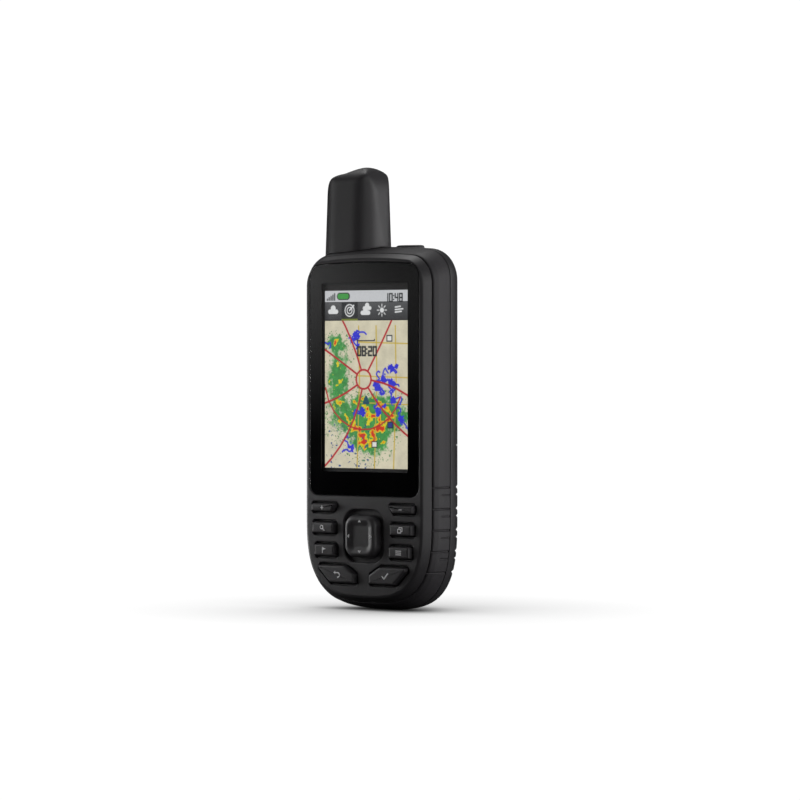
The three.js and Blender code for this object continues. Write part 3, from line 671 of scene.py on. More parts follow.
def front_shell():
    shell = case(0, FLANK_END, 0, 0.55, 0.25)
    add(shell, case(PLATE - 0.5, GRIP_END, GRIP_WALL + 0.15))
    cut(shell, case(PLATE, GRIP_END + 2, GRIP_WALL + 0.15 + WALL))
    post = [(PLATE - 0.5, SCREW_POST), (GRIP_END - 0.3, SCREW_POST)]
    add(shell, *[bar(x, z, post, 32) for x, z in POSTS])
    bores = [bar(x, z, [(5, SCREW_HOLE), (GRIP_END + 1, SCREW_HOLE)], 24) for x, z in POSTS]
    seat_levels = [(-3, 0.55), (0, 0.55), (0.1, 0.38), (0.3, 0.22), (0.5, 0.15), (1.6, 0.15)]
    seat = pushed([(glass_outline(g), d) for d, g in seat_levels])
    through = (-1, PLATE + 1)
    hole = pushed([(rounded(screen_box(GAP), 1), d) for d in through])
    keys = [points for _, _, points in each_key()]
    pockets = [opening(grown(points, 0.7), 0.7, 1.1, 0.35) for points in keys]
    shafts = [pushed([(rounded(grown(points, 0.25), 0.5), d) for d in through]) for points in keys]
    well_half, well_tall, pivot_half = 9.2, 9.6, 3.2
    well_box = rectangle(-well_half, well_half, ROCKER_Z - well_tall, ROCKER_Z + well_tall)
    well = opening(well_box, 5, 1.8, 0.6, 12)
    pivot = block((-pivot_half, pivot_half), through, (ROCKER_Z - pivot_half, ROCKER_Z + pivot_half))
    cut(shell, *bores, seat, hole, *pockets, *shafts, well, pivot)
    finish_piece(shell, "front_shell", SHELL, "root", ("front_housing",))


def lens():
    """A clear pane over the whole front of the lens, and a black mask behind it round the display."""
    front = 0.35
    rows = ((-0.3, 0.0), (-0.12, 0.05), (0, 0.2), (0, front))
    window = pushed([(glass_outline(growth), depth) for growth, depth in rows])
    finish_piece(window, "lens_window", WINDOW, "root", ("display_lens",))
    mask = pushed([(glass_outline(-0.02), d) for d in (front + 0.01, GLASS["thickness"])])
    margin = 1.0
    cut(mask, pushed([(rounded(screen_box(-margin), 0.5), d) for d in (-1, 3)]))
    finish_piece(mask, "lens_mask", BLACK_GLASS, "root")


def grip():
    ring = case(GRIP_START, GRIP_END, 0, 0.4, 0.4)
    cut(ring, case(GRIP_START - 1, GRIP_END + 1, GRIP_WALL))
    cut(ring, *band_grooves(GRIP_START, GRIP_END, 0.55, 0.75))
    finish_piece(ring, "grip_band", RUBBER, "root", ("grip_overmold",))


# ---- Keys, rocker and their markings -----------------------------------------------------

KEY_ROUNDING = 0.45


def keycap(name, points):
    """A raised bar with sloping sides, a soft rim and a slightly crowned face."""
    draft, crown = 0.3, 0.12
    rows = [(KEY_BACK, 0.0), (0.4, 0.0)]
    for t in QUARTER:
        depth = -KEY_OUT + crown + KEY_ROUNDING * (1 - math.sin(t))
        rows.append((depth, -draft - KEY_ROUNDING * (1 - math.cos(t))))
    rows.append((-KEY_OUT, -draft - KEY_ROUNDING - 0.25))
    cap = pushed([(rounded(grown(points, g), max(0.55 + g * 0.4, 0.12)), d) for d, g in rows])
    finish_piece(cap, name.replace("key_", "keycap_"), KEYCAP, name, (name,), 50)


def stroke(points, width, closed=False):
    """Flat quads along a line, in X and Z."""
    quads = []
    pairs = list(zip(points, points[1:]))
    if closed:
        pairs.append((points[-1], points[0]))
    for (x0, z0), (x1, z1) in pairs:
        length = math.hypot(x1 - x0, z1 - z0)
        ax, az = (x1 - x0) / length * width / 2, (z1 - z0) / length * width / 2
        start, end = (x0 - ax * 0.6, z0 - az * 0.6), (x1 + ax * 0.6, z1 + az * 0.6)
        quads.append([
            (start[0] - az, start[1] + ax), (end[0] - az, end[1] + ax),
            (end[0] + az, end[1] - ax), (start[0] + az, start[1] - ax),
        ])
    return quads


def ring_points(x, z, radius, count=16):
    return [(x + a, z + b) for a, b in circle(radius, count)]


def icon_shapes(kind):
    """Generic signs, each in a box about 3 mm wide around (0, 0)."""
    w = 0.4
    level, upright = [(-0.8, 0), (0.8, 0)], [(0, -0.8), (0, 0.8)]
    page = [(-0.5, 0.5), (-0.5, 1.2), (1.3, 1.2), (1.3, -0.5), (0.7, -0.5)]
    bow = [(0.3 + math.sin(t), -0.2 + 0.9 * math.cos(t)) for t in np.linspace(0, math.pi, 9)]
    handle = [(0.3, -0.4), (1.2, -1.2)]
    shapes = {
        "plus": stroke(level, w) + stroke(upright, w),
        "minus": stroke(level, w),
        "magnifier": stroke(ring_points(-0.35, 0.25, 0.8), w, True) + stroke(handle, w * 1.3),
        "pages": stroke(rectangle(-1.3, 0.5, -1.2, 0.4), w, True) + stroke(page, w),
        "flag": stroke([(-0.8, -1.3), (-0.8, 1.3)], w) + [[(-0.8, 1.3), (1.2, 0.6), (-0.8, -0.1)]],
        "lines": [q for k in (-1, 0, 1) for q in stroke([(-1.5, 0.85 * k), (1.5, 0.85 * k)], w)],
        "back": stroke([(-1.0, 0.7), (0.3, 0.7)] + bow[1:], w) + [[(-1.7, 0.7), (-0.8, 1.4), (-0.8, 0.0)]],
        "check": stroke([(-1.4, 0.0), (-0.4, -1.0), (1.5, 1.1)], w * 1.2),
        "arrow": [[(-0.75, -0.45), (0.75, -0.45), (0, 0.6)]],
    }
    return shapes[kind]


def icon(name, kind, centre, depth, body, size=1.0, spin=0.0):
    """A thin painted sign standing a hair above a surface."""
    bm = bmesh.new()
    lift, thickness = 0.02, 0.05
    cos, sin = math.cos(spin), math.sin(spin)
    for index, shape in enumerate(icon_shapes(kind)):
        spots = []
        for x, z in shape:
            across, up = size * (x * cos - z * sin), size * (x * sin + z * cos)
            spots.append((centre[0] + across, centre[1] + up))
        top = depth - lift - 0.002 * index
        front = [bm.verts.new(place(x, top, z)) for x, z in spots]
        back = [bm.verts.new(place(x, top + thickness, z)) for x, z in spots]
        bm.faces.new(front)
        bm.faces.new(back[::-1])
        for i in range(len(spots)):
            j = (i + 1) % len(spots)
            bm.faces.new((front[j], front[i], back[i], back[j]))
    finish_piece(new_object(name, bm), name, PAINT, body)


SIGNS = {
    "key_zoom_in": "plus", "key_zoom_out": "minus", "key_find": "magnifier", "key_page": "pages",
    "key_mark": "flag", "key_menu": "lines", "key_quit": "back", "key_enter": "check",
}


def keypad():
    for row_name, name, points in each_key():
        keycap(name, points)
        size = {"zoom": 0.75, "find": 0.8, "mark": 0.8, "quit": 0.95}[row_name]
        centre = (sum(x for x, _ in points) / len(points), sum(KEYS[row_name]["z"]) / 2)
        if row_name == "quit":
            centre = (math.copysign(11.3, centre[0]), 13)
        icon(name.replace("key_", "sign_"), SIGNS[name], centre, -KEY_OUT, name, size)


def rocker():
    """A soft square pad: rounded outer edge, a high rim, and slopes down to a sunken middle."""
    rows = [  # depth, half width, half height, corner radius
        (1.1, 7.5, 7.8, 4.0), (-1.2, 7.3, 7.6, 3.9), (-1.75, 7.05, 7.35, 3.8), (-2.15, 6.65, 6.95, 3.6),
        (-2.36, 6.2, 6.5, 3.3), (-2.4, 5.8, 6.1, 3.0), (-2.3, 5.2, 5.5, 2.5), (-1.95, 4.4, 4.7, 1.8),
        (-1.72, 3.95, 4.2, 1.4), (-1.62, 3.6, 3.9, 1.1), (-1.6, 3.2, 3.5, 0.9),
    ]
    rings = []
    for depth, half, tall, radius in rows:
        box = rectangle(-half, half, ROCKER_Z - tall, ROCKER_Z + tall)
        rings.append((rounded(box, radius, 12), depth))
    cap = pushed(rings)
    add(cap, block((-2.2, 2.2), (1, 2.2), (ROCKER_Z - 2.2, ROCKER_Z + 2.2)))
    cut(cap, block((-1.5, 1.5), (0.9, 3), (ROCKER_Z - 1.5, ROCKER_Z + 1.5)))
    finish_piece(cap, "rocker_pad", KEYCAP, "rocker_cap", ("rocker_cap",), 50)
    for index, (x, z) in enumerate(((0, 5.6), (-5.3, 0), (0, -5.6), (5.3, 0))):
        centre, spin = (x, ROCKER_Z + z), math.pi / 2 * index
        icon(f"rocker_arrow_{index + 1}", "arrow", centre, -2.36, "rocker_cap", 0.9, spin)


# ---- Antenna and power button ------------------------------------------------------------

ANTENNA = {"x": -15.2, "depth": 15.5, "half": 13.3, "deep": 9.0, "taper": 0.85, "base": 118}
TAPER_START = 128
SIDE_FLAT, FACE_FLAT = 3.9, 7.4  # half the width of the flats on the sides and on the faces


def antenna_facets(scale, growth, z):
    """A level section of the antenna: a soft eight-sided oval."""
    half, deep = ANTENNA["half"] * scale + growth, ANTENNA["deep"] * scale + growth
    corners = [
        (half, -SIDE_FLAT), (half, SIDE_FLAT), (FACE_FLAT, deep), (-FACE_FLAT, deep),
        (-half, SIDE_FLAT), (-half, -SIDE_FLAT), (-FACE_FLAT, -deep), (FACE_FLAT, -deep),
    ]
    spots = rounded(corners, 9, 8)
    return [place(ANTENNA["x"] + x, ANTENNA["depth"] + d, z) for x, d in spots]


def antenna_front(growth):
    """Front view: two round upper corners and a top that slopes outwards."""
    half = ANTENNA["half"] * ANTENNA["taper"] + 0.1 + growth
    left, right = ANTENNA["x"] - half, ANTENNA["x"] + half
    top, low = TOP + growth, ANTENNA["base"] - 1
    slope_end = top - 2.4
    inner_wide, inner_tall = 7.2, 11
    outer_wide, outer_tall = 9.5, 9
    points = [(left - 3, low), (right + 3, low)]
    for turn in np.linspace(0, math.pi / 2, 12):
        x = right - inner_wide * (1 - math.cos(turn))
        points.append((x, top - inner_tall * (1 - math.sin(turn))))
    points.append((right - inner_wide - 0.6, top))
    for turn in np.linspace(0, math.pi / 2, 12):
        x = left + outer_wide * (1 - math.sin(turn))
        points.append((x, slope_end - outer_tall * (1 - math.cos(turn))))
    return pushed([(points, ANTENNA["depth"] - 20), (points, ANTENNA["depth"] + 20)])


def antenna_side(growth):
    """Side view: the top rounds off to the front and to the back."""
    deep, top = ANTENNA["deep"] + growth, TOP + growth
    points = [(-deep - 2, ANTENNA["base"] - 2)]
    for y in np.linspace(-1, 1, 41):
        points.append((y * (deep - 0.6), top - 7.5 * (1 - math.sqrt(1 - y * y))))
    points.append((deep + 2, ANTENNA["base"] - 2))
    return loft([[place(x, ANTENNA["depth"] + y, z) for y, z in points] for x in (-40, 10)])


def antenna_solid(growth):
    heights = [ANTENNA["base"]] + [TAPER_START + 2.5 * k for k in range(17)]
    known = (ANTENNA["base"], TAPER_START, TOP + 4), (1.01, 1, ANTENNA["taper"])
    sleeve = loft([antenna_facets(float(np.interp(z, *known)), growth, z) for z in heights])
    return keep(keep(sleeve, antenna_front(growth)), antenna_side(growth))


def softened(obj, voxel, passes):
    """Rounds every edge: even small cells, then relaxed."""
    modifier = obj.modifiers.new("cells", "REMESH")
    modifier.mode = "VOXEL"
    modifier.voxel_size = voxel
    bake(obj)
    modifier = obj.modifiers.new("relax", "SMOOTH")
    modifier.factor = 0.5
    modifier.iterations = passes
    bake(obj)
    return obj


def antenna():
    """A hollow sleeve; its upper part is stretched back to full height after the smoothing."""
    body = softened(antenna_solid(0.15), 0.4, 44)
    stretch_start = 140
    top = max(v.co.z for v in body.data.vertices)
    for v in body.data.vertices:
        v.co.z += max(v.co.z - stretch_start, 0) / (top - stretch_start) * (TOP - top)
    cut(body, case(-0.2, FLAT_DEPTH, -0.25))
    cut(body, antenna_solid(-1.6))
    finish_piece(body, "antenna_sleeve", SHELL, "root", ("antenna_cover",), 40)


def button_oval(growth, z):
    return oval(BUTTON["x"], BUTTON["depth"], BUTTON["half"] + growth, BUTTON["deep"] + growth, z)


def power_button():
    low, high = edge("power_button", 0, 2), edge("power_button", 1, 2)
    rows = [  # drop below the top, distance in from the rim
        (high - low, 0.0), (0.75, 0.0), (0.5, 0.08), (0.25, 0.3), (0.08, 0.7), (0.02, 1.2),
        (0.1, 1.7), (0.22, 2.2), (0.25, 2.8),
    ]
    cap = loft([button_oval(-inset, high - drop) for drop, inset in rows])
    finish_piece(cap, "power_cap", KEYCAP, "power_button", ("power_button",), 50)


# ---- Rear shell, battery door, weather cap and latch -------------------------------------


def cap_zone(growth, top_growth):
    xs = (CAP["left"] - growth, CAP["right"] + growth)
    return block(xs, (14, FAR), (CAP["low"] - growth, CAP["high"] + top_growth))


def contact_face(x, zs):
    return block((x - CONTACT_HALF, x + CONTACT_HALF), CONTACT_DEPTHS, zs)


def bay_section(depths, zs):
    return keep(rear_body(WALL - 0.6), block((-FAR, FAR), depths, zs))


def clear_of_door(tool):
    return keep(tool, rear_body(DOOR_WALL + GAP))


def rear_shell():
    shell = skin(WALL)
    bay_floor = bay_section((REAR_START, BAY_FLOOR), (-5, BAY_TOP + 1.6))
    bay_lid = bay_section((REAR_START, FAR), (BAY_TOP, BAY_TOP + 1.6))
    sill = bay_section((REAR_START, FAR), (-5, DOOR_LOW - GAP))
    backing = keep(cut(rear_body(WALL - 0.3), rear_body(3.4)), cap_zone(1.6, 5))
    add(shell, bay_floor, bay_lid, sill, backing)
    door_space = block((-FAR, FAR), (DOOR_START - GAP, FAR), (DOOR_LOW - GAP, DOOR_HIGH + GAP))
    card_pocket = block(*CARD_POCKET)
    port = block((CAP["left"] + 1.8, CAP["right"] - 2.2), (10, FAR), (PORT_LOW, PORT_HIGH))
    cap_space = cut(cap_zone(GAP, CAP["swing_room"]), rear_body(CAP["wall"] + GAP))
    coil_hole = loft([oval(ANTENNA["x"], COIL_DEPTH, COIL_HOLE, COIL_HOLE, z, 48) for z in (114, 150)])
    button_hole = loft([button_oval(BUTTON_GAP, z) for z in (120, 150)])
    torch_levels = [(30, 3.45), (BACK - 0.6, 3.45), (BACK - 0.2, 3.65), (BACK, 4.0), (40, 4.0)]
    torch_bore = bar(0, TORCH_Z, torch_levels)
    screw_holes = [bar(x, z, [(10, SCREW_HOLE), (16, SCREW_HOLE)], 24) for x, z in POSTS]
    cut(shell, door_space, card_pocket, port, cap_space, coil_hole, button_hole, torch_bore, *screw_holes)
    bottom = DOOR_LOW - GAP - 0.2
    high = contact_face(-CONTACT_X, (60.8, BAY_TOP + 0.2))
    low = clear_of_door(contact_face(CONTACT_X, (bottom, 7.3)))
    under = clear_of_door(contact_face(-CONTACT_X, (bottom, 6.1)))
    add(shell, high, low, under)
    finish_piece(shell, "rear_shell", REAR_SHELL, "root", ("rear_housing",))


def battery_door():
    lid = keep(skin(DOOR_WALL), block((-FAR, FAR), (DOOR_START, FAR), (DOOR_LOW, DOOR_HIGH)))
    radius = DISH_RADIUS
    boss = keep(bar(0, LATCH_Z, [(28.2, radius + 1.2), (FAR, radius + 1.2)]), spine())
    add(lid, boss)
    dish_levels = [
        (DISH_FLOOR, radius - 1), (DISH_FLOOR + 0.3, radius - 0.3), (DISH_FLOOR + 1, radius),
        (BACK - 0.5, radius), (BACK - 0.15, radius + 0.15), (BACK, radius + 0.5), (FAR, radius + 0.5),
    ]
    dish = bar(0, LATCH_Z, dish_levels, 96)
    seat = bar(0, LATCH_Z, [(29.6, 6.7), (FAR, 6.7)])
    stem = bar(0, LATCH_Z, [(20, 2.9), (FAR, 2.9)])
    cut(lid, dish, seat, stem)
    cut(lid, *lid_grooves(((0.2, 0.75), (0.5, 0.32))))
    finish_piece(lid, "battery_lid", REAR_SHELL, "battery_door", ("battery_door",))


def weather_cap():
    flap = keep(skin(CAP["wall"]), cap_zone(0, 0))
    finish_piece(flap, "weather_flap", RUBBER, "weather_cap", ("weather_cap",), bevel=0.12)


def torch():
    end = BACK - 0.2
    profile = [
        (32, 3.2), (end - 0.4, 3.2), (end - 0.1, 3.05), (end, 2.7),
        (end - 0.25, 2.4), (end - 0.6, 1.2), (end - 0.7, 0.4),
    ]
    lens_piece = bar(0, TORCH_Z, profile)
    finish_piece(lens_piece, "torch_window", LAMP_GLASS, "root", ("torch_lens",), 50)


def latch():
    disc = bar(0, LATCH_Z, [(29.9, 6.4), (30.75, 6.4), (30.92, 6.3), (31, 6.1)], 72)
    add(disc, bar(0, LATCH_Z, [(27.4, 2.6), (30.2, 2.6)]))
    add(disc, block((-3.3, 3.3), (26.9, 27.9), (LATCH_Z - 1.3, LATCH_Z + 1.3)))
    lug_points = rectangle(30.6, 33.5, RING_Z - 1.8, RING_Z + 1.8)
    lug = loft([[place(x, d, z) for d, z in rounded(lug_points, 1.0, 6)] for x in (-2.6, 2.6)])
    add(disc, lug)
    eye = [[place(x, RING_DEPTH + a, RING_Z + b) for a, b in circle(WIRE + 0.25, 32)] for x in (-10, 10)]
    cut(disc, loft(eye))
    finish_piece(disc, "latch_disc", STEEL, "door_latch", ("door_latch",), bevel=0.08)


def ring_handle():
    """The folding wire ring: a half circle and a straight bar, one closed tube."""
    half_turn = [math.pi * (1 + k / 40) for k in range(41)]
    path = [(RING_RADIUS * math.cos(t), RING_RADIUS * math.sin(t)) for t in half_turn]
    path += [(RING_RADIUS * (1 - 2 * k / 12), 0) for k in range(1, 12)]
    rings = []
    for i, (x, z) in enumerate(path):
        before, after = Vector(path[i - 1]), Vector(path[(i + 1) % len(path)])
        along = (after - before).normalized()
        across = Vector((-along.y, along.x))
        wire = circle(WIRE, 20)
        rings.append([place(x + across.x * a, RING_DEPTH + b, RING_Z + z + across.y * a) for a, b in wire])
    finish_piece(loft(rings, closed_along=True), "wire_ring", STEEL, "d_ring", ("d_ring",), 60)


# ---- The picture on the display ----------------------------------------------------------

COLUMNS, ROWS = 168, 283
PICTURE = {"half": 19.6, "low": 51.9, "high": 116.9}
ASPECT = (PICTURE["high"] - PICTURE["low"]) / (2 * PICTURE["half"])
ACROSS, DOWN = np.meshgrid((np.arange(COLUMNS) + 0.5) / COLUMNS, (np.arange(ROWS) + 0.5) / ROWS)
CREAM, FOREST, LEAF = (213, 206, 180), (38, 128, 52), (52, 120, 60)
LIME, AMBER, FLAME = (226, 206, 30), (226, 138, 22), (205, 44, 22)
WATER, POND, HIGHWAY, LANE = (44, 48, 205), (40, 70, 130), (178, 36, 46), (196, 168, 60)
BADGE, PLATE_WHITE, ARROW = (44, 60, 140), (226, 226, 220), (24, 74, 96)
BAR_LIGHT, BAR_DARK, TAB_DARK = (198, 200, 203), (84, 86, 88), (34, 37, 40)
INK, CHALK, UNDERLINE, CHARGE = (40, 42, 44), (222, 224, 224), (110, 122, 40), (62, 150, 66)


def cloud(seed, cells, octaves=4):
    """Smooth repeatable noise over the picture, from 0 to 1."""
    source = np.random.default_rng(seed)
    total, weight, strength = np.zeros((ROWS, COLUMNS)), 0.0, 1.0
    for octave in range(octaves):
        down, across = cells * 2**octave * 5 // 3 + 2, cells * 2**octave + 2
        grid = source.random((down, across))
        v, u = np.linspace(0, down - 1.001, ROWS), np.linspace(0, across - 1.001, COLUMNS)
        j, i = v.astype(int)[:, None], u.astype(int)[None, :]
        b, a = v[:, None] - j, u[None, :] - i
        a, b = a * a * (3 - 2 * a), b * b * (3 - 2 * b)
        top = grid[j, i] * (1 - a) + grid[j, i + 1] * a
        low = grid[j + 1, i] * (1 - a) + grid[j + 1, i + 1] * a
        total += strength * (top * (1 - b) + low * b)
        weight += strength
        strength *= 0.55
    return total / weight


def away_from_line(points):
    """Distance of every dot from a polyline, in shares of the picture's width."""
    nearest = np.full(ACROSS.shape, 9.0)
    for (x0, y0), (x1, y1) in zip(points, points[1:]):
        ax, ay = x1 - x0, (y1 - y0) * ASPECT
        px, py = ACROSS - x0, (DOWN - y0) * ASPECT
        share = np.clip((px * ax + py * ay) / (ax * ax + ay * ay + 1e-9), 0, 1)
        nearest = np.minimum(nearest, np.hypot(px - share * ax, py - share * ay))
    return nearest


def paint(canvas, amount, colour):
    amount = np.clip(amount, 0, 1)[..., None]
    canvas[:] = canvas * (1 - amount) + np.array(colour, float) * amount


def line(canvas, points, colour, width):
    paint(canvas, (width - away_from_line(points)) * COLUMNS + 0.5, colour)


def square(canvas, x, y, half, colour):
    """A filled square, with half its width as a share of the picture's width."""
    off = np.maximum(abs(ACROSS - x), abs(DOWN - y) * ASPECT * 1.15)
    paint(canvas, (half - off) * COLUMNS, colour)


HUB = (0.47, 0.5)
RING_ROAD = 0.09


def from_hub(bearing, reach):
    turn = math.radians(bearing)
    return (HUB[0] + reach * math.cos(turn), HUB[1] + reach * math.sin(turn) / ASPECT)


def roads():
    """The roads of an invented town, with their widths: a ring, seven spokes and an outer bow."""
    source = np.random.default_rng(7)
    yield [from_hub(bearing, RING_ROAD) for bearing in range(0, 361, 20)], 0.009
    for index in range(7):
        bearing, bend = 360 / 7 * index + source.uniform(-10, 10), source.uniform(-30, 30)
        yield [from_hub(bearing + bend * reach, reach) for reach in np.linspace(RING_ROAD, 1.3, 9)], 0.009
    yield [from_hub(bearing, 0.47) for bearing in range(20, 171, 15)], 0.007


def rivers(count=13, steps=22, step=0.018):
    """Repeatable wandering lines."""
    source = np.random.default_rng(12)
    for _ in range(count):
        x, y = source.uniform(0.05, 0.95), source.uniform(0.25, 0.85)
        heading = source.uniform(0, 2 * math.pi)
        path = [(x, y)]
        for _ in range(steps):
            heading += source.normal(0, 0.95)
            x += step * math.cos(heading)
            y += step * math.sin(heading) / ASPECT
            path.append((x, y))
        yield path


def bump_at(x, y, width, height):
    return np.exp(-(((ACROSS - x) / width) ** 2 + ((DOWN - y) / height) ** 2))


RAIN = (  # strength, across, down, width, height
    (0.95, 0.45, 0.72, 0.36, 0.1), (0.75, 0.72, 0.68, 0.3, 0.08), (0.7, 0.55, 0.84, 0.22, 0.1),
    (0.62, 0.16, 0.5, 0.14, 0.11), (0.62, 0.14, 0.29, 0.13, 0.045), (0.3, 0.2, 0.4, 0.12, 0.1),
)


def weather(canvas):
    """Rain as green ground with lime, amber and red cells, and loose specks round it."""
    rain = sum(strength * bump_at(*spot) for strength, *spot in RAIN)
    level = rain * (0.25 + 1.5 * cloud(11, 22, 4)) * (0.5 + cloud(5, 8, 4))
    wet = np.clip((level * (0.72 + 0.56 * cloud(29, 60, 3)) - 0.27) * 5, 0, 1)
    green = np.array(FOREST, float) * (0.8 + 0.5 * cloud(31, 34, 3))[..., None]
    paint(canvas, 0.86 * wet, green)
    paint(canvas, np.clip((cloud(37, 70, 2) - 0.7) * 22, 0, 0.8) * (rain > 0.08), LEAF)
    cells = np.clip(level, 0, 0.9) * cloud(17, 16, 3) ** 2 * 3.4
    for share, colour in ((0.93, LIME), (0.97, AMBER), (0.985, FLAME)):
        edge_level = float(np.quantile(cells, share))
        paint(canvas, np.clip((cells - edge_level) * 16, 0, 0.95), colour)
    ponds = np.clip((cloud(23, 52, 2) - 0.735) * 30, 0, 0.9)
    paint(canvas, ponds * (DOWN > 0.75) * (ACROSS < 0.6), POND)


def map_layer(canvas):
    canvas[:] = np.array(CREAM, float) * (0.9 + 0.17 * cloud(3, 10, 5))[..., None]
    weather(canvas)
    for x in (0.41, 0.62, 0.85):
        line(canvas, [(x, 0.2), (x + 0.01, 0.5), (x - 0.02, 1.0)], LANE, 0.006)
    for y in (0.29, 0.48, 0.63):
        line(canvas, [(0.4, y), (1.0, y + 0.01)], LANE, 0.005)
    for index, path in enumerate(rivers()):
        line(canvas, path, WATER, 0.0075)
        x, y = path[len(path) // 2]
        lake = bump_at(x, y, 0.05, 0.035) * (0.1 + 1.5 * cloud(60 + index, 46, 3))
        paint(canvas, (lake - 0.5) * 14, WATER)
    for path, width in roads():
        line(canvas, path, HIGHWAY, width)
    for x, y, colour in ((0.79, 0.755, BADGE), (0.6, 0.865, PLATE_WHITE), (0.78, 0.27, PLATE_WHITE)):
        square(canvas, x, y, 0.038, INK)
        square(canvas, x, y, 0.028, colour)
    line(canvas, [(0.39, 0.275), (0.39, 0.283), (0.6, 0.283), (0.6, 0.275)], INK, 0.005)
    line(canvas, [(0.5, 0.6), (0.475, 0.632), (0.525, 0.632), (0.5, 0.6)], ARROW, 0.014)


DIGIT_BARS = {"0": "abcdef", "1": "bc", "2": "abged", "4": "fgbc", "8": "abcdefg"}
BAR_ENDS = {
    "a": ((0, 0), (1, 0)), "b": ((1, 0), (1, 1)), "c": ((1, 1), (1, 2)), "d": ((0, 2), (1, 2)),
    "e": ((0, 1), (0, 2)), "f": ((0, 0), (0, 1)), "g": ((0, 1), (1, 1)),
}


def digits(canvas, text, left, top, width, colour, thickness=0.007):
    """Plain seven-bar clock numbers."""
    for symbol in text:
        if symbol == ":":
            for drop in (0.5, 1.5):
                spot = (left - width * 0.1, top + drop * width * 1.15 / ASPECT)
                line(canvas, [spot, (spot[0] + 0.001, spot[1])], colour, thickness)
            left += width * 0.55
            continue
        for name in DIGIT_BARS[symbol]:
            ends = [(left + x * width, top + y * width * 1.15 / ASPECT) for x, y in BAR_ENDS[name]]
            line(canvas, ends, colour, thickness)
        left += width * 1.65


def tab_sign(canvas, index, x, y):
    """Five plain weather signs: cloud, dial, two clouds, sun and wind."""
    def puff(cx, cy, r):
        line(canvas, [(cx - r, cy), (cx + r, cy)], CHALK, r * 0.55)
        line(canvas, [(cx, cy - r * 0.45), (cx + 0.001, cy - r * 0.45)], CHALK, r * 0.75)

    if index == 0:
        puff(x, y + 0.006, 0.04)
    elif index == 1:
        turns = np.linspace(0, 2 * math.pi, 19)
        for radius in (0.055, 0.03):
            points = [(x + radius * math.cos(t), y + radius * math.sin(t) / ASPECT) for t in turns]
            line(canvas, points, CHALK, 0.006)
        line(canvas, [(x, y), (x + 0.05, y - 0.028)], CHALK, 0.008)
    elif index == 2:
        puff(x + 0.012, y - 0.012, 0.034)
        puff(x - 0.008, y + 0.014, 0.038)
    elif index == 3:
        line(canvas, [(x - 0.01, y), (x - 0.009, y)], CHALK, 0.024)
        for t in np.linspace(0, 2 * math.pi, 9)[:-1]:
            c, s = math.cos(t), math.sin(t) / ASPECT
            ray = [(x - 0.01 + reach * c, y + reach * s) for reach in (0.036, 0.055)]
            line(canvas, ray, CHALK, 0.005)
    else:
        for k, stretch in enumerate((0.0, 0.03, 0.012)):
            level = y - 0.016 + 0.014 * k
            line(canvas, [(x - 0.05, level), (x + 0.01 + stretch, level - 0.004)], CHALK, 0.007)


STATUS_END, TABS_END, SEAM = 0.062, 0.163, 0.006


def picture():
    """Every dot of the display: the map, the bar with five tabs and the bar at the top."""
    canvas = np.zeros((ROWS, COLUMNS, 3))
    map_layer(canvas)
    digits(canvas, "08:20", 0.4, 0.318, 0.034, INK, 0.0085)
    tabs, chosen = DOWN < TABS_END, (ACROSS > 0.2) & (ACROSS < 0.4)
    canvas[DOWN < TABS_END + SEAM] = TAB_DARK
    fade = BAR_DARK[0] - 30 * np.clip((DOWN - STATUS_END) / (TABS_END - STATUS_END), 0, 1)
    canvas[tabs] = fade[tabs][:, None] + np.array([0, 1, 3])
    canvas[tabs & chosen] = TAB_DARK
    canvas[(DOWN > TABS_END - 0.004) & (DOWN < TABS_END + SEAM) & chosen] = UNDERLINE
    for index in range(5):
        tab_sign(canvas, index, 0.1 + 0.2 * index, 0.112)
    canvas[DOWN < STATUS_END] = BAR_LIGHT
    canvas[(DOWN > STATUS_END) & (DOWN < STATUS_END + SEAM)] = INK
    for k in range(5):
        x = 0.03 + 0.022 * k
        line(canvas, [(x, 0.052), (x, 0.048 - 0.0075 * k)], BAR_DARK, 0.008)
    line(canvas, [(0.18, 0.032), (0.27, 0.032)], INK, 0.034)
    line(canvas, [(0.18, 0.032), (0.265, 0.032)], CHARGE, 0.026)
    digits(canvas, "10:48", 0.73, 0.021, 0.031, INK, 0.0065)
    return canvas


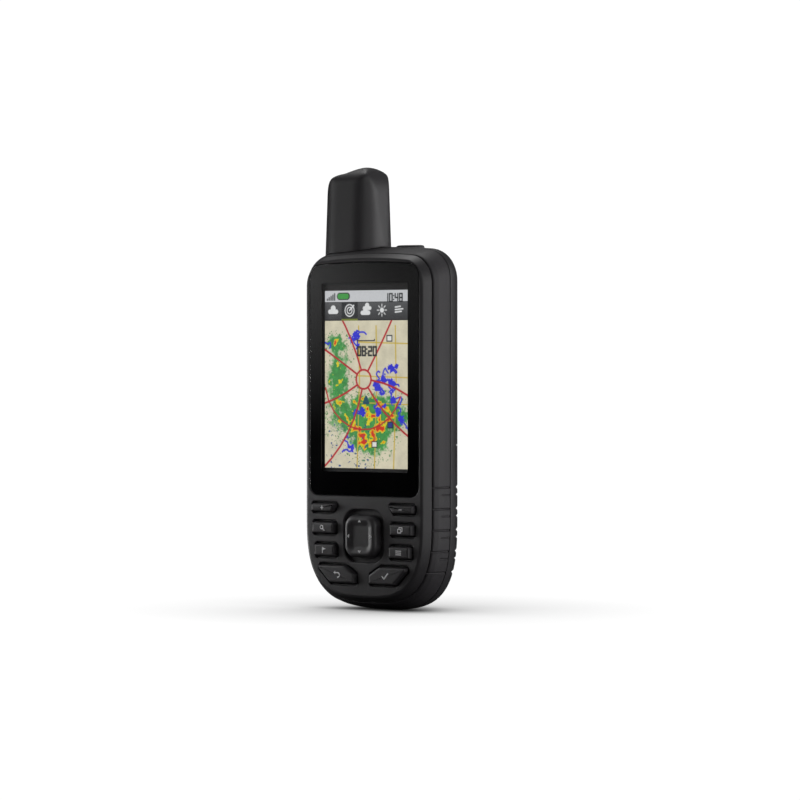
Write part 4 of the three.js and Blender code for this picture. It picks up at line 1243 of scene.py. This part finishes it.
def display_picture():
    """A thin slab just in front of the display module: a face of dots in a black frame."""
    thickness, margin = 0.05, 0.3
    depth = edge("display_module", 0, 1) - FRONT_Y - 0.08
    half, low, high = PICTURE["half"], PICTURE["low"], PICTURE["high"]
    side = SCREEN["half"] - margin
    xs = np.concatenate([[-side], np.linspace(-half, half, COLUMNS + 1), [side]])
    ends = (SCREEN["high"] - margin, SCREEN["low"] + margin)
    zs = np.concatenate([ends[:1], np.linspace(high, low, ROWS + 1), ends[1:]])
    wide, tall = len(xs), len(zs)
    spots = [place(x, depth, z) for z in zs for x in xs]
    faces = []
    for r in range(tall - 1):
        for c in range(wide - 1):
            corner = r * wide + c
            faces.append((corner, corner + wide, corner + wide + 1, corner + 1))
    border = [(0, c) for c in range(wide)] + [(r, wide - 1) for r in range(1, tall)]
    border += [(tall - 1, c) for c in range(wide - 2, -1, -1)] + [(r, 0) for r in range(tall - 2, 0, -1)]
    around_edge = [r * wide + c for r, c in border]
    first, count = len(spots), len(around_edge)
    spots += [(spots[i][0], spots[i][1] + thickness, spots[i][2]) for i in around_edge]
    for i, here in enumerate(around_edge):
        j = (i + 1) % count
        faces.append((here, around_edge[j], first + j, first + i))
    faces.append(tuple(range(first, first + count)))
    mesh = bpy.data.meshes.new("display_picture")
    mesh.from_pydata(spots, [], faces)
    mesh.transform(Matrix.Scale(MM, 4))
    dots = np.zeros((ROWS + 2, COLUMNS + 2, 3))
    dots[1:-1, 1:-1] = (np.clip(picture(), 0, 255) / 255) ** 2.2
    front_corners = np.repeat(dots.reshape(-1, 3), 4, axis=0)
    black_corners = np.zeros((5 * count, 3))  # four for each side face, and one each for the back
    colours = np.concatenate([front_corners, black_corners])
    rgba = np.concatenate([colours, np.ones((len(colours), 1))], axis=1)
    layer = mesh.color_attributes.new("dots", "FLOAT_COLOR", "CORNER")
    layer.data.foreach_set("color", rgba.ravel())
    mesh.materials.append(LIT)
    obj = linked("display_picture", mesh)
    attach(obj, "root")


# ---- Floor, light and camera -------------------------------------------------------------


def aimed(obj, target):
    direction = Vector(target) - obj.location
    obj.rotation_euler = direction.to_track_quat("-Z", "Y").to_euler()


def soft_light(name, place_at, target, power, width, height, cone=180):
    data = bpy.data.lights.new(name, "AREA")
    data.shape = "RECTANGLE"
    data.size, data.size_y = width, height
    data.energy = power
    data.spread = math.radians(cone)
    obj = linked(name, data)
    obj.location = place_at
    aimed(obj, target)
    obj.visible_camera = False


def seen_by_camera(tree, otherwise, seen):
    """One value for what the camera sees, another for light that goes on to the object."""
    rays = add_node(tree, "LightPath").outputs["Is Camera Ray"]
    return add_node(tree, "MapRange", [("Value", rays)], To_Min=otherwise, To_Max=seen).outputs["Result"]


FLOOR_SHADE = 0.06  # how pale the floor looks to light bounced on to the object
FLOOR_WHITE = 1.04
FLOOR_HALF, FLOOR_DROP = 8000, 0.05
SHADOW_REACH = 0.1
SHADOW_POWER = 1.2
AMBIENT, SKY_WHITE = 0.03, 1.05


def floor():
    """A white sheet that glows for the camera, with a painted soft shadow where the object shuts out the
    light.
    """
    bm = bmesh.new()
    bmesh.ops.create_grid(bm, x_segments=8, y_segments=8, size=FLOOR_HALF)
    bmesh.ops.translate(bm, verts=bm.verts, vec=(0, 0, -FLOOR_DROP))
    sheet = new_object("floor", bm)
    sheet.data.transform(Matrix.Scale(MM, 4))
    material, tree, shader, where = start_material("pale_floor")
    pale = ramp(tree, noise(tree, where, 3, 2), (FLOOR_SHADE,) * 3, (FLOOR_SHADE * 1.05,) * 3)
    feed(tree, shader, Base_Color=pale)
    shader.inputs["Roughness"].default_value = 0.9
    shader.inputs["Specular IOR Level"].default_value = 0.0
    # painted shadow: ambient occlusion round the object darkens the floor's glow, and only the camera sees
    # it
    openness = add_node(tree, "AmbientOcclusion", Distance=SHADOW_REACH)
    openness.samples = 32
    deeper = add_node(tree, "Math", [(0, openness.outputs["AO"])])
    deeper.operation = "POWER"
    deeper.inputs[1].default_value = SHADOW_POWER
    glow = add_node(tree, "Emission", [("Color", deeper.outputs["Value"])], Strength=FLOOR_WHITE)
    camera_only = seen_by_camera(tree, 0.0, 1.0)
    parts = [("Fac", camera_only), (1, shader.outputs["BSDF"]), (2, glow.outputs["Emission"])]
    show(tree, add_node(tree, "MixShader", parts).outputs["Shader"])
    sheet.data.materials.append(material)
    sheet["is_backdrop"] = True


def sky():
    """White behind the object, and a dim even light all round it."""
    world = bpy.data.worlds.new("studio")
    bpy.context.scene.world = world
    world.use_nodes = True
    background = world.node_tree.nodes["Background"]
    background.inputs["Color"].default_value = (1, 1, 1, 1)
    feed(world.node_tree, background, Strength=seen_by_camera(world.node_tree, AMBIENT, SKY_WHITE))


AZIMUTH = math.radians(39.5)
EYE_HEIGHT = 0.0903
DISTANCE = 1.4


def camera():
    data = bpy.data.cameras.new("view")
    data.lens = 172.6
    data.sensor_width = 36
    data.shift_x, data.shift_y = 0.042, -0.046
    data.clip_start, data.clip_end = 0.05, 20
    obj = linked("view", data)
    aim = Vector((0, (FRONT_Y + 1.7) * MM, EYE_HEIGHT))
    obj.location = aim + DISTANCE * Vector((math.sin(AZIMUTH), -math.cos(AZIMUTH), 0))
    aimed(obj, aim)
    bpy.context.scene.camera = obj


def around(azimuth, distance, height):
    """A place round the object; azimuth 0 is in front of it and 90 on its right."""
    turn = math.radians(azimuth)
    return (distance * math.sin(turn), -distance * math.cos(turn), height)


CARD_FADES = {  # start and end of each fade, and the glow at its start and end
    "X": (-0.03, 0.03, 1.7, 0.5),
    "Y": (-0.045, 0.04, 0.0, 0.36),
}
CARD_HALF, CARD_TOP, CARD_HEIGHT = 0.11, 0.035, 0.1


def reflector():
    """A card whose glow fades to the right and downwards, mirrored in the glass."""
    bm = bmesh.new()
    bmesh.ops.create_grid(bm, x_segments=4, y_segments=4, size=CARD_HALF)
    for vert in bm.verts:
        vert.co.y = min(vert.co.y, CARD_TOP)
    card = new_object("reflector", bm)
    card.location = around(-39.5, 0.27, CARD_HEIGHT)
    aimed(card, (0, FRONT_Y * MM, CARD_HEIGHT))
    material, tree, shader, where = start_material("card_glow")
    tree.nodes.remove(shader)
    axes = add_node(tree, "SeparateXYZ", [("Vector", where)])
    fades = []
    for axis, limits in CARD_FADES.items():
        fade = add_node(tree, "MapRange", [("Value", axes.outputs[axis])])
        fade.interpolation_type = "SMOOTHSTEP"
        for key, value in zip(("From Min", "From Max", "To Min", "To Max"), limits):
            fade.inputs[key].default_value = value
        fades.append(fade.outputs["Result"])
    emission = add_node(tree, "Emission", [("Strength", multiplied(tree, *fades))])
    show(tree, emission.outputs["Emission"])
    card.data.materials.append(material)
    card.visible_camera = card.visible_diffuse = card.visible_shadow = False
    card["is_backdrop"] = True


def studio():
    floor()
    sky()
    middle = (0, 0, 0.08)
    soft_light("side_light", around(105, 0.9, 0.14), middle, 10.4, 1.38, 0.6)
    soft_light("fill_light", around(36, 0.6, 0.3), (-0.015, 0, 0.16), 0.035, 0.3, 0.3, 30)
    soft_light("front_light", around(-74, 0.17, 0.05), (-0.02, -0.016, 0.03), 0.05, 0.08, 0.1, 100)
    soft_light("left_light", around(-56, 0.8, 0.27), (-0.01, 0, 0.14), 0.9, 0.35, 0.3)
    soft_light("top_light", around(-120, 0.35, 1.0), middle, 4.5, 0.6, 0.6)
    reflector()
    camera()
    bpy.context.scene.view_settings.view_transform = "Standard"
    bpy.context.scene.view_settings.look = "None"


# ---- Build -------------------------------------------------------------------------------

front_shell()
lens()
grip()
keypad()
rocker()
antenna()
power_button()
rear_shell()
battery_door()
weather_cap()
torch()
latch()
ring_handle()
display_picture()
studio()

visual_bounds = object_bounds()
sizes = {"cad": cad_bounds, "visual": visual_bounds}
{key: [list(corner) for corner in box] for key, box in sizes.items()}
